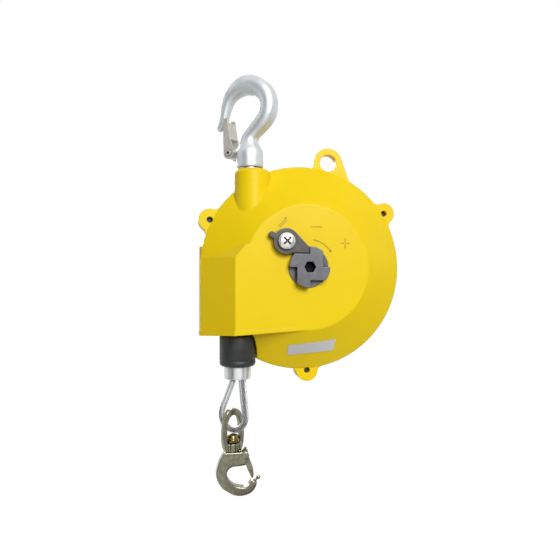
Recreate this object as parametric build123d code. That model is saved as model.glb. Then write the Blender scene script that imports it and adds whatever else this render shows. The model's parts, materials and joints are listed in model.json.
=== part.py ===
"""Hanging spring balancer for hand tools, with top hook, ratchet adjuster, wire rope and snap hook.

Everything is drawn in millimetres round the drum's axis: X to the right, Y to the back, Z up, with Y = 0
in the plane of the casing's front rim. The finished pieces are moved so that the origin lies on the top
hook's swivel axis, at the height of the saddle that the balancer hangs from.
"""
import math
import os

from build123d import *

# Casing
RIM_R = 100.0  # radius of the round casing
WALL = 3.0  # wall of the castings
FACE_R = 59.4  # radius of the flat front face
FACE_Y = -30.0  # flat front face
PARTING_Y = 9.0  # joint between the two castings
BACK_Y = 36.0  # outer face of the rear casting
RIM_ROUND = 2.0  # rounding of the front rim
BACK_ROUND = 6.0  # rounding of the rear rim
LUG_CIRCLE_R = RIM_R + 2.0  # screw circle of the three lugs
LUG_ANGLES = (33.0, 153.0, 273.0)
LUG_R = 10.8
LUG_T = 8.0  # rear lugs; the front ones reach to the parting plane
SCREW_R = 3.0
SCREW_HEAD_R = 4.6
SCREW_END_Y = 5.0  # the screws end this deep in the front lugs
SCREW_HEAD_H = 5.0
SCREW_SOCKET_R = 2.3
LUG_FILLET = 6.0
SAFETY_X = 0.27 * RIM_R  # eye for the safety chain
SAFETY_Z = 1.05 * RIM_R
SAFETY_R = 14.6
SAFETY_HOLE_R = 8.5
SHAFT_BOSS_R = 17.0
SHAFT_BOSS_L = 9.0

# Rope box on the left of the casing
BOX_FRONT_X = -0.69 * RIM_R  # front left corner of the box
BOX_MID_X = -0.96 * RIM_R  # where the slanted side reaches the rim plane
BOX_SIDE_X = -RIM_R
BOX_SIDE_Y = 8.0
BOX_TOP_Z = 0.21 * RIM_R
BOX_SLOPE = 0.0623  # fall of the box's bottom towards the left
BOX_BOTTOM_Z = -0.595 * RIM_R  # height of the bottom line under the drum's axis
BOX_LIP_H = 6.0
BOX_LIP = 1.0
BOX_CUT_LOW_Z = BOX_TOP_Z - 12.0  # sloping strip on the box's upper left corner
BOX_CUT_HIGH_Z = BOX_TOP_Z - 5.0
BOX_CUT_RUN = 5.7
BOX_CUT_RISE = 0.6  # rise of the strip's foot towards the back

# Neck and top hook
HOOK_X = -0.52 * RIM_R  # swivel axis
NECK_R = 17.8
NECK_X = HOOK_X + 2.2  # the neck stands a little to the right of its bore
NECK_TOP_Z = 0.956 * RIM_R
NECK_ROUND = 5.0
NECK_SEAT_Z = NECK_TOP_Z - 16.6  # face that the nut runs under
HOOK_TURN = 38.0  # turn of the hook's plane about the swivel axis, as it hangs at rest
STEM_R = 8.0
RUN_FIT = 0.05  # running clearance on the radius
SEAT_GAP = 0.3  # clearance between faces of different bodies
WASHER_T = 1.2
SHANK_R = 13.2
SHANK_H = 17.0
SHOULDER_H = 7.0  # cone from the shank up to the hook
NUT_AF = 22.0
NUT_H = 8.0
BOWL_Z = NECK_TOP_Z + 59.9  # height of the bowl's centre
BOWL_R = 12.4
HOOK_STATIONS = (
    # distance from the swivel axis, height over the neck, heading in degrees from +X, thickness
    (0.0, 21.4, 90, 22.0),
    (0.0, 28.4, 80, 18.0),
    (3.6, 35.0, 54, 16.4),
    (11.5, 42.4, 48, 17.6),
    (19.1, 51.0, 64, 18.4),
    (21.5, 61.3, 97, 18.4),
    (15.3, 75.6, 133, 19.8),
    (2.2, 83.0, 168, 20.6),
    (-9.6, 82.4, 197, 18.8),
    (-19.6, 76.9, 221, 15.8),
    (-24.9, 70.0, 245, 13.2),
    (-28.2, 59.6, 255, 10.9),
    (-30.6, 51.4, 248, 9.6),
    (-34.2, 44.9, 238, 8.0),
)
HOOK_FLAT = 0.8  # distance of the flat from the section's middle, as a share of its radius
LATCH_X = -19.7  # latch pivot, from the swivel axis
LATCH_Z = NECK_TOP_Z + 17.2
LATCH_W = 12.6  # clear width between the latch's cheeks
LATCH_T = 1.4
LATCH_SIDE = (
    # from the latch's pivot
    (-6.0, 34.5),
    (-6.2, 12.0),
    (-5.6, 1.0),
    (5.4, 3.0),
    (0.8, 17.0),
    (-1.8, 34.5),
)
LATCH_TONGUE = (
    (-1.5, 30.7),
    (1.5, 14.0),
    (-0.1, 14.0),
    (-3.1, 30.7),
)
EAR_R = 5.4
EAR_T = 8.0
RIVET_R = 2.0
RIVET_LIP = 1.4  # how far a rivet's heads stand out
RIVET_LIP_H = 1.0

# Main shaft, ratchet wheel and pawl
WHEEL_R = 19.3
WHEEL_FLOOR = 12.3  # distance of a notch's floor from the axis
WHEEL_STAND = 8.0  # height of the wheel's face above the casing's face
WHEEL_BASE_T = 1.5
WHEEL_NOTCHES = 4
TOOTH_ROUND = 1.2
JOURNAL_R = 11.0
HEX_AF = 10.0
HEX_DEPTH = 7.2
BUSH_T = 2.0
SHAFT_R = 8.0
TENON_AF = 11.0
RING_SEAT_R = 7.25  # groove of the retaining ring
PAWL_X = -22.2
PAWL_Z = 24.0
PAWL_R = 12.0
PAWL_T = 4.6
PAWL_LIFT = 1.0  # gap between the nose and the notch's floor
PAWL_NOSE = (
    # corners of the nose, from the wheel's axis and from the nose's foot
    (-0.5, 0.0),
    (-0.5, 5.6),
    (-3.9, 8.9),
)
PAWL_BACK = (8.8, 8.2)  # end of the nose's upper side, from the pawl's axis
PAWL_KNOB = (-13.7, 6.3)  # thumb knob at the tail, from the pawl's axis
PAWL_KNOB_R = 2.6
PAWL_ROOT = (-9.5, 4.3)  # middle of the knob's root
PAWL_ROOT_TURN = -25.0
PAWL_ROOT_SIZE = (9.0, 5.2)
PAWL_WALL = 2.6  # wall round the spring's room
PAWL_ROOM = 3.0  # depth of the spring's room
PAD_R = 13.0
PAD_T = 1.8
SHOULDER_R = 5.0
PAWL_SCREW_R = 8.0
PAWL_SCREW_H = 4.6
SPRING_WIRE = 1.2

# Drum and rope
ROPE_D = 5.0
ROPE_X = -0.64 * RIM_R  # where the rope leaves the drum
WRAP_PITCH = 5.6
WRAP_TAPER = 2.0  # growth of the drum's radius over one wrap
WRAPS = 3.4
DRUM_RIM = 2.4  # rim beyond the outer wraps
DRUM_WALL = 4.0
DRUM_FRONT_WEB = 3.0
LID_T = 2.0
HUB_WALL = 3.0
ARBOR_R = 15.0
BEARING_R = 13.0
BEARING_W = 6.0
STRIP_T = 0.7
STRIP_TURNS = 7

# Load end
GUIDE_R = 8.0
GUIDE_FLANGE_R = 12.5
GUIDE_FLANGE_T = 1.6
BUMPER_R = 17.5
BUMPER_L = 30.3
BUMPER_LOW_ROUND = 3.6
BUMPER_TOP_ROUND = 1.6
FERRULE_R = 13.0
FERRULE_L = 12.2
FERRULE_ROUND = 0.8
LOOP_R = 14.4  # bend of the rope's centre line at the bottom of the loop
LOOP_TURN = 38.0  # turn of the loop's plane about the vertical
LOOP_SHIFT = 1.0  # the bend lies this far right of the swivel axis
LOOP_LEGS = (1.5, 10.7)  # where the two legs enter the ferrule, from the bend's centre
LOOP_DROP = 35.9  # from the ferrule to the centre of the loop's bend
ROPE_GAP = 0.6  # clearance between the loop's bend and the swivel rivet's head
SWIVEL_X = ROPE_X - 4.8
THIMBLE_T = 1.1
EYE_TURN = 27.0  # turn of the eye's plane about the vertical
EYE_T = 5.4
EYE_L = 41.7
EYE_HALF = (
    # right half of the eye, from the middle of its top down to its foot
    (0.0, 0.0),
    (6.2, -2.0),
    (9.6, -7.5),
    (11.3, -16.0),
    (11.7, -25.0),
    (11.3, -33.0),
    (8.4, -41.7),
)
EYE_HOLE_HALF = (
    (0.0, -6.3),
    (3.3, -7.6),
    (5.8, -11.5),
    (7.2, -19.0),
    (7.4, -27.0),
    (7.0, -33.5),
)
BRIDGE_T = 8.2
SWIVEL_RIVET_R = 3.4
SWIVEL_HEAD_R = 6.2
SWIVEL_HEAD_H = 8.8
SWIVEL_RIVET_L = 10.0  # depth of the rivet in the snap hook
BODY_T = 10.0
GATE_T = 5.0
GATE_X = SWIVEL_X + 12.1
GATE_DROP = 3.1  # gate pivot under the top of the snap hook's body
GATE_ROOM = (-7.0, 8.0, -15.5, 6.0)  # slot for the gate: sides from its pivot, heights from the body's top
SNAP_OUTLINE = (
    # from the swivel axis and the body's top: a corner, or the end of an arc and a point that it passes
    (-8.1, 0.0),
    (8.8, 0.0),
    (11.7, 1.6),
    (12.7, 4.6),
    (14.3, 2.2),
    (15.3, -5.0),
    (12.2, -12.9),
    (8.2, -13.5),
    (0.9, -13.9),
    (-5.9, -21.5, -4.1, -16.4),
    (9.0, -34.1, -1.1, -29.8),
    (17.8, -28.8, 14.5, -33.0),
    (19.7, -27.6),
    (23.5, -29.7),
    (13.9, -41.6, 20.6, -37.2),
    (-4.7, -38.2, 5.0, -42.4),
    (-16.3, -20.5, -13.5, -29.9),
    (-8.1, 0.0, -13.5, -9.4),
)
SNAP_TIP = (25.3, -26.2)
SNAP_TIP_R = 1.9
SNAP_TIP_TURN = 32.0
SNAP_TIP_STALK = (5.4, 2.6)
GATE_OUTLINE = (
    # from the gate's pivot
    (-2.4, 0.9),
    (-0.4, 2.4),
    (2.5, 0.3),
    (4.5, -4.7),
    (7.6, -13.0),
    (8.4, -19.6),
    (7.9, -22.4),
    (7.0, -24.0),
    (5.7, -22.3),
    (2.5, -15.2),
    (0.6, -10.6),
    (-1.6, -3.6),
)


def cyl_y(radius, x, z, y0, y1):
    """Cylinder along Y."""
    low = (Align.CENTER, Align.CENTER, Align.MIN)
    return Pos(x, y0, z) * Rot(-90, 0, 0) * Cylinder(radius, y1 - y0, align=low)


def cyl_z(radius, x, y, z0, z1):
    """Cylinder along Z."""
    low = (Align.CENTER, Align.CENTER, Align.MIN)
    return Pos(x, y, z0) * Cylinder(radius, z1 - z0, align=low)


def block(x0, x1, y0, y1, z0, z1):
    """Box between two corners."""
    return Pos((x0 + x1) / 2, (y0 + y1) / 2, (z0 + z1) / 2) * Box(x1 - x0, y1 - y0, z1 - z0)


def turned(points):
    """Solid of revolution about the drum's axis, from (radius, y) points."""
    return revolve(make_face(Polyline(*points, close=True)), Axis.Y)


def front_plane(y):
    """Drawing plane that faces the front, with its sketches in X and Z."""
    return Plane(origin=(0, y, 0), x_dir=(1, 0, 0), z_dir=(0, -1, 0))


def slab(sketch, y0, y1):
    """Sketch drawn in X and Z, extruded from y0 back to y1."""
    return extrude(front_plane(y1) * sketch, amount=y1 - y0)


def box_line(x):
    """Height of the rope box's bottom at x."""
    return BOX_BOTTOM_Z + BOX_SLOPE * x


def rope_box(inset, y_back):
    """Rope box with every side set in by the same amount."""
    far = 2 * RIM_R
    plan = Polyline(
        (BOX_FRONT_X + inset, FACE_Y + inset),
        (BOX_MID_X + inset * 1.3, inset * 0.3),
        (BOX_SIDE_X + inset, BOX_SIDE_Y),
        (BOX_SIDE_X + inset, y_back),
        (0, y_back),
        (0, FACE_Y + inset),
        close=True,
    )
    body = Pos(0, 0, -RIM_R) * extrude(make_face(plan), amount=far)
    front = Polyline(
        (-far, box_line(-far) + inset),
        (0, box_line(0) + inset),
        (0, BOX_TOP_Z - inset),
        (-far, BOX_TOP_Z - inset),
        close=True,
    )
    body = body & slab(make_face(front), FACE_Y, y_back)
    corner = Vector(BOX_FRONT_X, FACE_Y, BOX_CUT_LOW_Z)
    along = Vector(BOX_CUT_RUN, 0, BOX_CUT_HIGH_Z - BOX_CUT_LOW_Z)
    back = Vector(BOX_MID_X - BOX_FRONT_X, -FACE_Y, BOX_CUT_RISE)
    normal = along.cross(back).normalized()
    if normal.Z < 0:
        normal = normal * -1
    cut = Plane(origin=corner - normal * inset, z_dir=normal)
    return split(body, bisect_by=cut, keep=Keep.BOTTOM)


def box_lip():
    """Slightly proud band round the foot of the rope box."""
    plan = Polyline(
        (BOX_FRONT_X - BOX_LIP, FACE_Y - BOX_LIP),
        (BOX_MID_X - BOX_LIP, -BOX_LIP / 2),
        (BOX_SIDE_X - BOX_LIP, BOX_SIDE_Y),
        (BOX_SIDE_X - BOX_LIP, PARTING_Y),
        (-WALL, PARTING_Y),
        (-WALL, FACE_Y),
        close=True,
    )
    body = Pos(0, 0, -RIM_R) * extrude(make_face(plan), amount=RIM_R)
    band = Polyline(
        (-2 * RIM_R, box_line(-2 * RIM_R)),
        (-WALL, box_line(-WALL)),
        (-WALL, box_line(-WALL) + BOX_LIP_H / 2),
        (-2 * RIM_R, box_line(-2 * RIM_R) + BOX_LIP_H * 1.4),
        close=True,
    )
    return body & slab(make_face(band), FACE_Y - BOX_LIP, PARTING_Y)


def flange(y0, y1):
    """Round rim plate with the three screw lugs, filleted where they meet the rim."""
    plate = slab(Circle(RIM_R), y0, y1)
    for angle in LUG_ANGLES:
        arm = Pos(LUG_CIRCLE_R / 2, 0) * Rectangle(LUG_CIRCLE_R, 2 * LUG_R)
        lug = arm + Pos(LUG_CIRCLE_R, 0) * Circle(LUG_R)
        plate += slab(Rot(0, 0, angle) * lug, y0, y1)
    corners = plate.edges().filter_by(Axis.Y)
    rim = [e for e in corners if abs(math.hypot(e.center().X, e.center().Z) - RIM_R) < 0.5]
    return fillet(rim, LUG_FILLET)


def safety_outline():
    """Eye for the safety chain, with its sloping right side."""
    foot_z = math.sqrt(RIM_R**2 - SAFETY_X**2) - 6
    eye = Pos(SAFETY_X, SAFETY_Z) * Circle(SAFETY_R)
    foot = Polyline(
        (SAFETY_X - SAFETY_R, SAFETY_Z),
        (SAFETY_X + SAFETY_R * 0.94, SAFETY_Z + SAFETY_R * 0.34),
        (SAFETY_X + SAFETY_R + 9, foot_z - 8),
        (SAFETY_X - SAFETY_R - 3, foot_z),
        close=True,
    )
    return eye + make_face(foot)


def lug_places():
    """X and Z of the three casing screws."""
    turns = [math.radians(a) for a in LUG_ANGLES]
    return [(LUG_CIRCLE_R * math.cos(t), LUG_CIRCLE_R * math.sin(t)) for t in turns]


def bumper_pocket(radius, top):
    """Round recess in the casings that the bumper hangs in."""
    return cyl_z(radius, ROPE_X, 0, -RIM_R - 10, top)


def inner_room():
    """Hollow inside the two castings."""
    slope = (RIM_R - FACE_R) / -FACE_Y
    room = turned(
        [
            (0, FACE_Y + WALL),
            (FACE_R - WALL * 0.4, FACE_Y + WALL),
            (RIM_R - WALL, WALL * 1.4 / slope),
            (RIM_R - WALL, BACK_Y - WALL),
            (0, BACK_Y - WALL),
        ]
    )
    room += rope_box(WALL, BACK_Y - WALL)
    return room - bumper_pocket(POCKET_R + WALL, box_line(ROPE_X) + WALL)


POCKET_R = BUMPER_R + 1.5
WHEEL_Y = FACE_Y - WHEEL_STAND  # front face of the ratchet wheel
PAD_Y = FACE_Y - PAD_T
PAWL_Y = PAD_Y - SEAT_GAP - PAWL_T  # front face of the pawl
DRUM_Y0 = -ROPE_D / 2 - DRUM_RIM
DRUM_Y1 = WRAP_PITCH * WRAPS + ROPE_D / 2 + DRUM_RIM
WEB_Y = DRUM_Y0 + DRUM_FRONT_WEB  # inner face of the drum's front web
LID_Y = DRUM_Y1 - LID_T
HUB_Y0 = WEB_Y - BEARING_W - 1
HUB_Y1 = LID_Y + BEARING_W + 1
CASE_R = -ROPE_X - ROPE_D / 2 - DRUM_WALL  # inside of the spring case
BOSS_Y = FACE_Y + WALL + SHAFT_BOSS_L  # inner end of the front shaft boss
WRAP_R = -ROPE_X  # radius of the rope's centre line in the first wrap
BUMPER_TOP_Z = box_line(ROPE_X) - GUIDE_FLANGE_T - SEAT_GAP
BUMPER_LOW_Z = BUMPER_TOP_Z - BUMPER_L
FERRULE_LOW_Z = BUMPER_LOW_Z - FERRULE_L
LOOP_Z = FERRULE_LOW_Z - LOOP_DROP
RIVET_TOP_Z = LOOP_Z - LOOP_R - ROPE_D / 2 - ROPE_GAP
EYE_BOTTOM_Z = RIVET_TOP_Z - SWIVEL_HEAD_H - SEAT_GAP - BRIDGE_T
EYE_TOP_Z = EYE_BOTTOM_Z + EYE_L
BODY_TOP_Z = EYE_BOTTOM_Z - SEAT_GAP
GATE_Z = BODY_TOP_Z - GATE_DROP
SHANK_Z = NECK_TOP_Z + WASHER_T  # foot of the top hook's shank


def front_casing():
    """Front casting: cone, flat face, rope box, neck, lugs and shaft boss."""
    shell = turned([(0, FACE_Y), (FACE_R, FACE_Y), (RIM_R, 0), (RIM_R, PARTING_Y), (0, PARTING_Y)])
    shell = fillet(shell.edges().filter_by(GeomType.CIRCLE).sort_by(Axis.Y)[0:2], RIM_ROUND)
    shell += rope_box(0, PARTING_Y)
    shell += box_lip()
    shell += flange(0, PARTING_Y)
    shell += slab(safety_outline(), 0, PARTING_Y)
    neck = cyl_z(NECK_R, NECK_X, 0, BOX_TOP_Z - 1, NECK_TOP_Z)
    neck = fillet(neck.edges().sort_by(Axis.Z)[-1], NECK_ROUND)
    shell += neck
    shell -= inner_room()
    shell += cyl_z(NECK_R - 1.5, NECK_X, 0, NECK_SEAT_Z, NECK_TOP_Z - NECK_ROUND)
    shell -= cyl_z(NUT_AF / math.sqrt(3) + 1.5, HOOK_X, 0, NECK_SEAT_Z - 4 * NUT_H, NECK_SEAT_Z)
    shell += cyl_y(SHAFT_BOSS_R, 0, 0, FACE_Y + 1, BOSS_Y)
    shell += cyl_y(SHOULDER_R + 4, PAWL_X, PAWL_Z, FACE_Y + 1, BOSS_Y)
    shell += cyl_y(PAD_R, PAWL_X, PAWL_Z, PAD_Y, FACE_Y + 1)
    shell -= bumper_pocket(POCKET_R, box_line(ROPE_X))
    shell -= cyl_z(GUIDE_R, ROPE_X, 0, box_line(ROPE_X) - 3, box_line(ROPE_X) + 2 * WALL)
    shell -= cyl_z(STEM_R + RUN_FIT, HOOK_X, 0, NECK_SEAT_Z - 1, NECK_TOP_Z + 1)
    shell -= cyl_y(JOURNAL_R + BUSH_T, 0, 0, FACE_Y - 1, BOSS_Y + 1)
    shell -= cyl_y(SHOULDER_R - 1, PAWL_X, PAWL_Z, PAD_Y - 1, BOSS_Y - 2)
    for x, z in lug_places():
        shell -= cyl_y(SCREW_R, x, z, -1, PARTING_Y + 1)
    shell -= cyl_y(SAFETY_HOLE_R, SAFETY_X, SAFETY_Z, -1, PARTING_Y + 1)
    return shell


def rear_casing():
    """Rear casting: dish with the same lugs, rope box and a boss for the shaft."""
    shell = turned([(0, PARTING_Y), (RIM_R, PARTING_Y), (RIM_R, BACK_Y), (0, BACK_Y)])
    shell = fillet(shell.edges().filter_by(GeomType.CIRCLE).sort_by(Axis.Y)[-1], BACK_ROUND)
    side = rope_box(0, BACK_Y) & block(-2 * RIM_R, 0, PARTING_Y, BACK_Y, -RIM_R, RIM_R)
    corner = side.edges().filter_by(Axis.Z).sort_by(Axis.Y)[-2:].sort_by(Axis.X)[0]
    shell += fillet(corner, BACK_ROUND)
    shell += flange(PARTING_Y, PARTING_Y + LUG_T)
    shell -= inner_room()
    for x, z in lug_places():
        shell += cyl_y(SCREW_HEAD_R + WALL, x, z, PARTING_Y, BACK_Y - WALL) & slab(Circle(RIM_R), 0, BACK_Y)
    shell += cyl_y(SHAFT_BOSS_R, 0, 0, HUB_Y1 + 1.5, BACK_Y - 1)
    shell -= bumper_pocket(POCKET_R, box_line(ROPE_X))
    shell -= cyl_z(NECK_R + 0.2, NECK_X, 0, 0, NECK_TOP_Z + 5)
    shell -= cyl_y(SHAFT_R + BUSH_T, 0, 0, HUB_Y1, BACK_Y + 1)
    for x, z in lug_places():
        shell -= cyl_y(SCREW_R, x, z, PARTING_Y - 1, PARTING_Y + LUG_T + 1)
        shell -= cyl_y(SCREW_HEAD_R + 0.4, x, z, PARTING_Y + LUG_T, BACK_Y + 1)
    return shell


def casing_screw(place):
    """Cap screw from the back, with its end recessed in the front lug."""
    x, z = place
    head_y = PARTING_Y + LUG_T
    screw = cyl_y(SCREW_R - 0.02, x, z, SCREW_END_Y, head_y)
    head = cyl_y(SCREW_HEAD_R, x, z, head_y, head_y + SCREW_HEAD_H)
    socket = slab(Pos(x, z) * RegularPolygon(SCREW_SOCKET_R, 6), head_y + 2, head_y + SCREW_HEAD_H + 1)
    return screw + head - socket


def bush(outer, inner, y0, y1):
    """Plain shaft bush."""
    return cyl_y(outer, 0, 0, y0, y1) - cyl_y(inner, 0, 0, y0 - 1, y1 + 1)


def main_shaft():
    """Shaft with a square front end for the ratchet wheel and an arbor for the spring."""
    shaft = cyl_y(SHAFT_R, 0, 0, BOSS_Y, BACK_Y + 3.5)
    shaft += slab(Rectangle(TENON_AF, TENON_AF), FACE_Y + 2.5, BOSS_Y)
    shaft += cyl_y(ARBOR_R, 0, 0, WEB_Y + 1.5, LID_Y - 1.5)
    shaft -= slab(Pos(ARBOR_R, 0) * Rectangle(4, STRIP_T + 0.6), WEB_Y, LID_Y)
    groove = bush(SHAFT_R + 1, RING_SEAT_R - RUN_FIT, BACK_Y + 0.5, BACK_Y + 1.9)
    return shaft - groove


def ratchet_wheel():
    """Four-notch wheel with a hex socket, its journal and a square pocket for the shaft."""
    base_y = FACE_Y - SEAT_GAP - WHEEL_BASE_T
    teeth = cyl_y(WHEEL_R, 0, 0, WHEEL_Y, base_y)
    notch = block(-2 * WHEEL_R, 0, WHEEL_Y - 1, base_y + 1, WHEEL_FLOOR, 2 * WHEEL_R)
    for step in range(WHEEL_NOTCHES):
        teeth -= Rot(0, 360 / WHEEL_NOTCHES * step, 0) * notch
    corners = teeth.edges().filter_by(Axis.Y)
    tips = [e for e in corners if abs(math.hypot(e.center().X, e.center().Z) - WHEEL_R) < 0.1]
    wheel = fillet(tips, TOOTH_ROUND) + cyl_y(WHEEL_R - 0.3, 0, 0, base_y, FACE_Y - SEAT_GAP)
    wheel += cyl_y(JOURNAL_R, 0, 0, FACE_Y - SEAT_GAP, BOSS_Y)
    wheel -= slab(RegularPolygon(HEX_AF / 2, 6, major_radius=False), WHEEL_Y - 1, WHEEL_Y + HEX_DEPTH)
    wheel -= slab(Rectangle(TENON_AF + 0.1, TENON_AF + 0.1), FACE_Y + 2.4, BOSS_Y + 1)
    return wheel


def retaining_ring():
    """Open ring in the groove at the shaft's rear end."""
    ring = bush(SHAFT_R + 2.6, RING_SEAT_R, BACK_Y + 0.6, BACK_Y + 1.8)
    return ring - block(-3, 3, BACK_Y, BACK_Y + 3, 0, 2 * SHAFT_R)


def pawl():
    """Pawl with its nose in the top notch and a thumb knob at the tail."""
    under = WHEEL_FLOOR + PAWL_LIFT
    corners = [(x, under + z) for x, z in PAWL_NOSE]
    back = (PAWL_X + PAWL_BACK[0], PAWL_Z + PAWL_BACK[1])
    nose = Polyline((PAWL_X, PAWL_Z), (PAWL_X, under), *corners, back, close=True)
    body = slab(Pos(PAWL_X, PAWL_Z) * Circle(PAWL_R) + make_face(nose), PAWL_Y, PAWL_Y + PAWL_T)
    knob = Pos(PAWL_X, PAWL_Z) * Pos(*PAWL_KNOB) * Circle(PAWL_KNOB_R)
    root = Pos(PAWL_X, PAWL_Z) * Pos(*PAWL_ROOT) * Rot(0, 0, PAWL_ROOT_TURN) * Rectangle(*PAWL_ROOT_SIZE)
    body += slab(knob + root, PAWL_Y, PAWL_Y + PAWL_T)
    body -= cyl_y(SHOULDER_R + RUN_FIT, PAWL_X, PAWL_Z, PAWL_Y - 1, PAD_Y)
    spring_room = cyl_y(PAWL_R - PAWL_WALL, PAWL_X, PAWL_Z, PAWL_Y + PAWL_T - PAWL_ROOM, PAD_Y)
    return body - spring_room


def pawl_screw():
    """Pan head shoulder screw that the pawl turns on."""
    head_y = PAWL_Y - SEAT_GAP
    head = cyl_y(PAWL_SCREW_R, PAWL_X, PAWL_Z, head_y - PAWL_SCREW_H, head_y)
    head = fillet(head.edges().filter_by(GeomType.CIRCLE).sort_by(Axis.Y)[0], PAWL_SCREW_H * 0.7)
    shoulder = cyl_y(SHOULDER_R, PAWL_X, PAWL_Z, head_y, PAD_Y)
    thread = cyl_y(SHOULDER_R - 1.02, PAWL_X, PAWL_Z, PAD_Y, BOSS_Y - 3)
    return head + shoulder + thread


def pawl_spring():
    """Two turns of wire round the pawl screw, under the pawl."""
    middle = SHOULDER_R + 1.8
    spring = None
    for turn in (0, 1):
        y = PAD_Y - SPRING_WIRE * (0.5 + turn * 0.8)
        coil = Pos(PAWL_X, y, PAWL_Z) * Rot(90, 0, 0) * Torus(middle, SPRING_WIRE / 2)
        spring = coil if spring is None else spring + coil
    return spring


def drum():
    """Tapered rope drum with the spring case inside and a bearing seat in its front web."""
    half = ROPE_D / 2
    rise = WRAP_TAPER / WRAP_PITCH
    under = half * math.hypot(1, rise) + 0.1
    first, last = -half - 0.2, WRAP_PITCH * WRAPS + half + 0.2
    rim = [
        (CASE_R, DRUM_Y0),
        (WRAP_R + half, DRUM_Y0),
        (WRAP_R + half, first),
        (WRAP_R + rise * first - under, first),
        (WRAP_R + rise * last - under, last),
        (WRAP_R + rise * last + half, last),
        (WRAP_R + rise * last + half, DRUM_Y1),
        (CASE_R, DRUM_Y1),
    ]
    body = turned(rim)
    body += turned([(BEARING_R, DRUM_Y0), (CASE_R + 1, DRUM_Y0), (CASE_R + 1, WEB_Y), (BEARING_R, WEB_Y)])
    outer = BEARING_R + HUB_WALL
    return body + turned([(BEARING_R, HUB_Y0), (outer, HUB_Y0), (outer, WEB_Y), (BEARING_R, WEB_Y)])


def spring_case_cover():
    """Lid of the spring case with the rear bearing seat."""
    outer = BEARING_R + HUB_WALL
    points = [(BEARING_R, LID_Y), (CASE_R, LID_Y), (CASE_R, DRUM_Y1), (outer, DRUM_Y1), (outer, HUB_Y1)]
    return turned(points + [(BEARING_R, HUB_Y1)])


def bearing(y0):
    """Ball bearing, drawn as a ring with a groove on its faces."""
    ring = bush(BEARING_R - 0.02, SHAFT_R + RUN_FIT, y0, y0 + BEARING_W)
    return ring - bush(BEARING_R - 1.6, SHAFT_R + 1.7, y0 - 1, y0 + 0.6)


def spiral_point(start_r, pitch, turn):
    """Point on a flat spiral that grows by the pitch with each turn."""
    radius = start_r + pitch * turn / (2 * math.pi)
    return radius * math.cos(turn), radius * math.sin(turn)


def power_spring():
    """Flat spiral spring between the arbor and the spring case."""
    inner = ARBOR_R + 1.2
    pitch = (CASE_R - 1.0 - STRIP_T - inner) / STRIP_TURNS
    steps = 24
    count = STRIP_TURNS * steps + 1
    turns = [2 * math.pi * n / steps for n in range(count)]
    near = [spiral_point(inner, pitch, t) for t in turns]
    far = [spiral_point(inner + STRIP_T, pitch, t) for t in reversed(turns)]
    return slab(make_face(Polyline(*near, *far, close=True)), WEB_Y + 2, LID_Y - 2)


def rope_wraps():
    """Rope wound on the tapered drum, from its anchor to where it leaves the drum."""
    taper = math.degrees(math.atan(WRAP_TAPER / WRAP_PITCH))
    coil = Helix(WRAP_PITCH, WRAP_PITCH * WRAPS, WRAP_R, cone_angle=taper)
    section = Plane(coil @ 0, z_dir=coil % 0) * Circle(ROPE_D / 2)
    wound = sweep(section, path=coil, is_frenet=True)
    return Rot(-90, 0, 0) * Rot(0, 0, 180) * wound


def rope_stretch():
    """Straight stretch of rope from the drum down to the ferrule."""
    return cyl_z(ROPE_D / 2, ROPE_X, 0, BUMPER_LOW_Z, -SEAT_GAP)


def rope_guide():
    """Nylon nozzle that the rope leaves the box through."""
    low = box_line(ROPE_X)
    body = cyl_z(GUIDE_R - 0.02, ROPE_X, 0, low - 1, low + WALL + 2)
    body += cyl_z(GUIDE_FLANGE_R, ROPE_X, 0, low - GUIDE_FLANGE_T, low)
    bore = cyl_z(ROPE_D / 2 + 1.2, ROPE_X, 0, low - 5, low + 20)
    mouth = Pos(ROPE_X, 0, low + WALL + 2) * Sphere(GUIDE_R - 2)
    return body - bore - mouth


def rubber_bumper():
    """Rubber stop on the rope, with a groove near its lower edge."""
    body = cyl_z(BUMPER_R, ROPE_X, 0, BUMPER_LOW_Z, BUMPER_TOP_Z)
    body = fillet(body.edges().filter_by(GeomType.CIRCLE).sort_by(Axis.Z)[0], BUMPER_LOW_ROUND)
    body = fillet(body.edges().filter_by(GeomType.CIRCLE).sort_by(Axis.Z)[-1], BUMPER_TOP_ROUND)
    return body - cyl_z(ROPE_D / 2 + 0.1, ROPE_X, 0, BUMPER_LOW_Z - 1, BUMPER_TOP_Z + 1)


def turned_plane(angle):
    """Upright drawing plane through the snap hook's swivel axis, turned about it."""
    turn = math.radians(angle)
    across = (math.cos(turn), math.sin(turn), 0)
    return Plane(origin=(SWIVEL_X, 0, 0), x_dir=across, z_dir=(math.sin(turn), -math.cos(turn), 0))


def loop_place():
    """Placement of the loop's plane, drawn in (across, height)."""
    return turned_plane(-LOOP_TURN) * Pos(LOOP_SHIFT, 0, 0)


def tangent_angle(leg, side):
    """Angle on the bend where the leg's straight run meets it."""
    rise = FERRULE_LOW_Z - LOOP_Z
    reach = math.hypot(leg, rise)
    return math.atan2(rise, leg) + side * math.acos(LOOP_R / reach)


def loop_lines(start_z):
    """Left leg, bend and right leg of the loop, in (across, height)."""
    left = tangent_angle(LOOP_LEGS[0], 1)
    right = tangent_angle(LOOP_LEGS[1], -1)
    left_end = (LOOP_R * math.cos(left), LOOP_Z + LOOP_R * math.sin(left))
    right_end = (LOOP_R * math.cos(right), LOOP_Z + LOOP_R * math.sin(right))
    starts = []
    for leg, end in zip(LOOP_LEGS, (left_end, right_end)):
        share = (start_z - end[1]) / (FERRULE_LOW_Z - end[1])
        starts.append((end[0] + (leg - end[0]) * share, start_z))
    first = Line(starts[0], left_end)
    bend = ThreePointArc(left_end, (0, LOOP_Z - LOOP_R), right_end)
    return first, bend, Line(right_end, starts[1])


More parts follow.
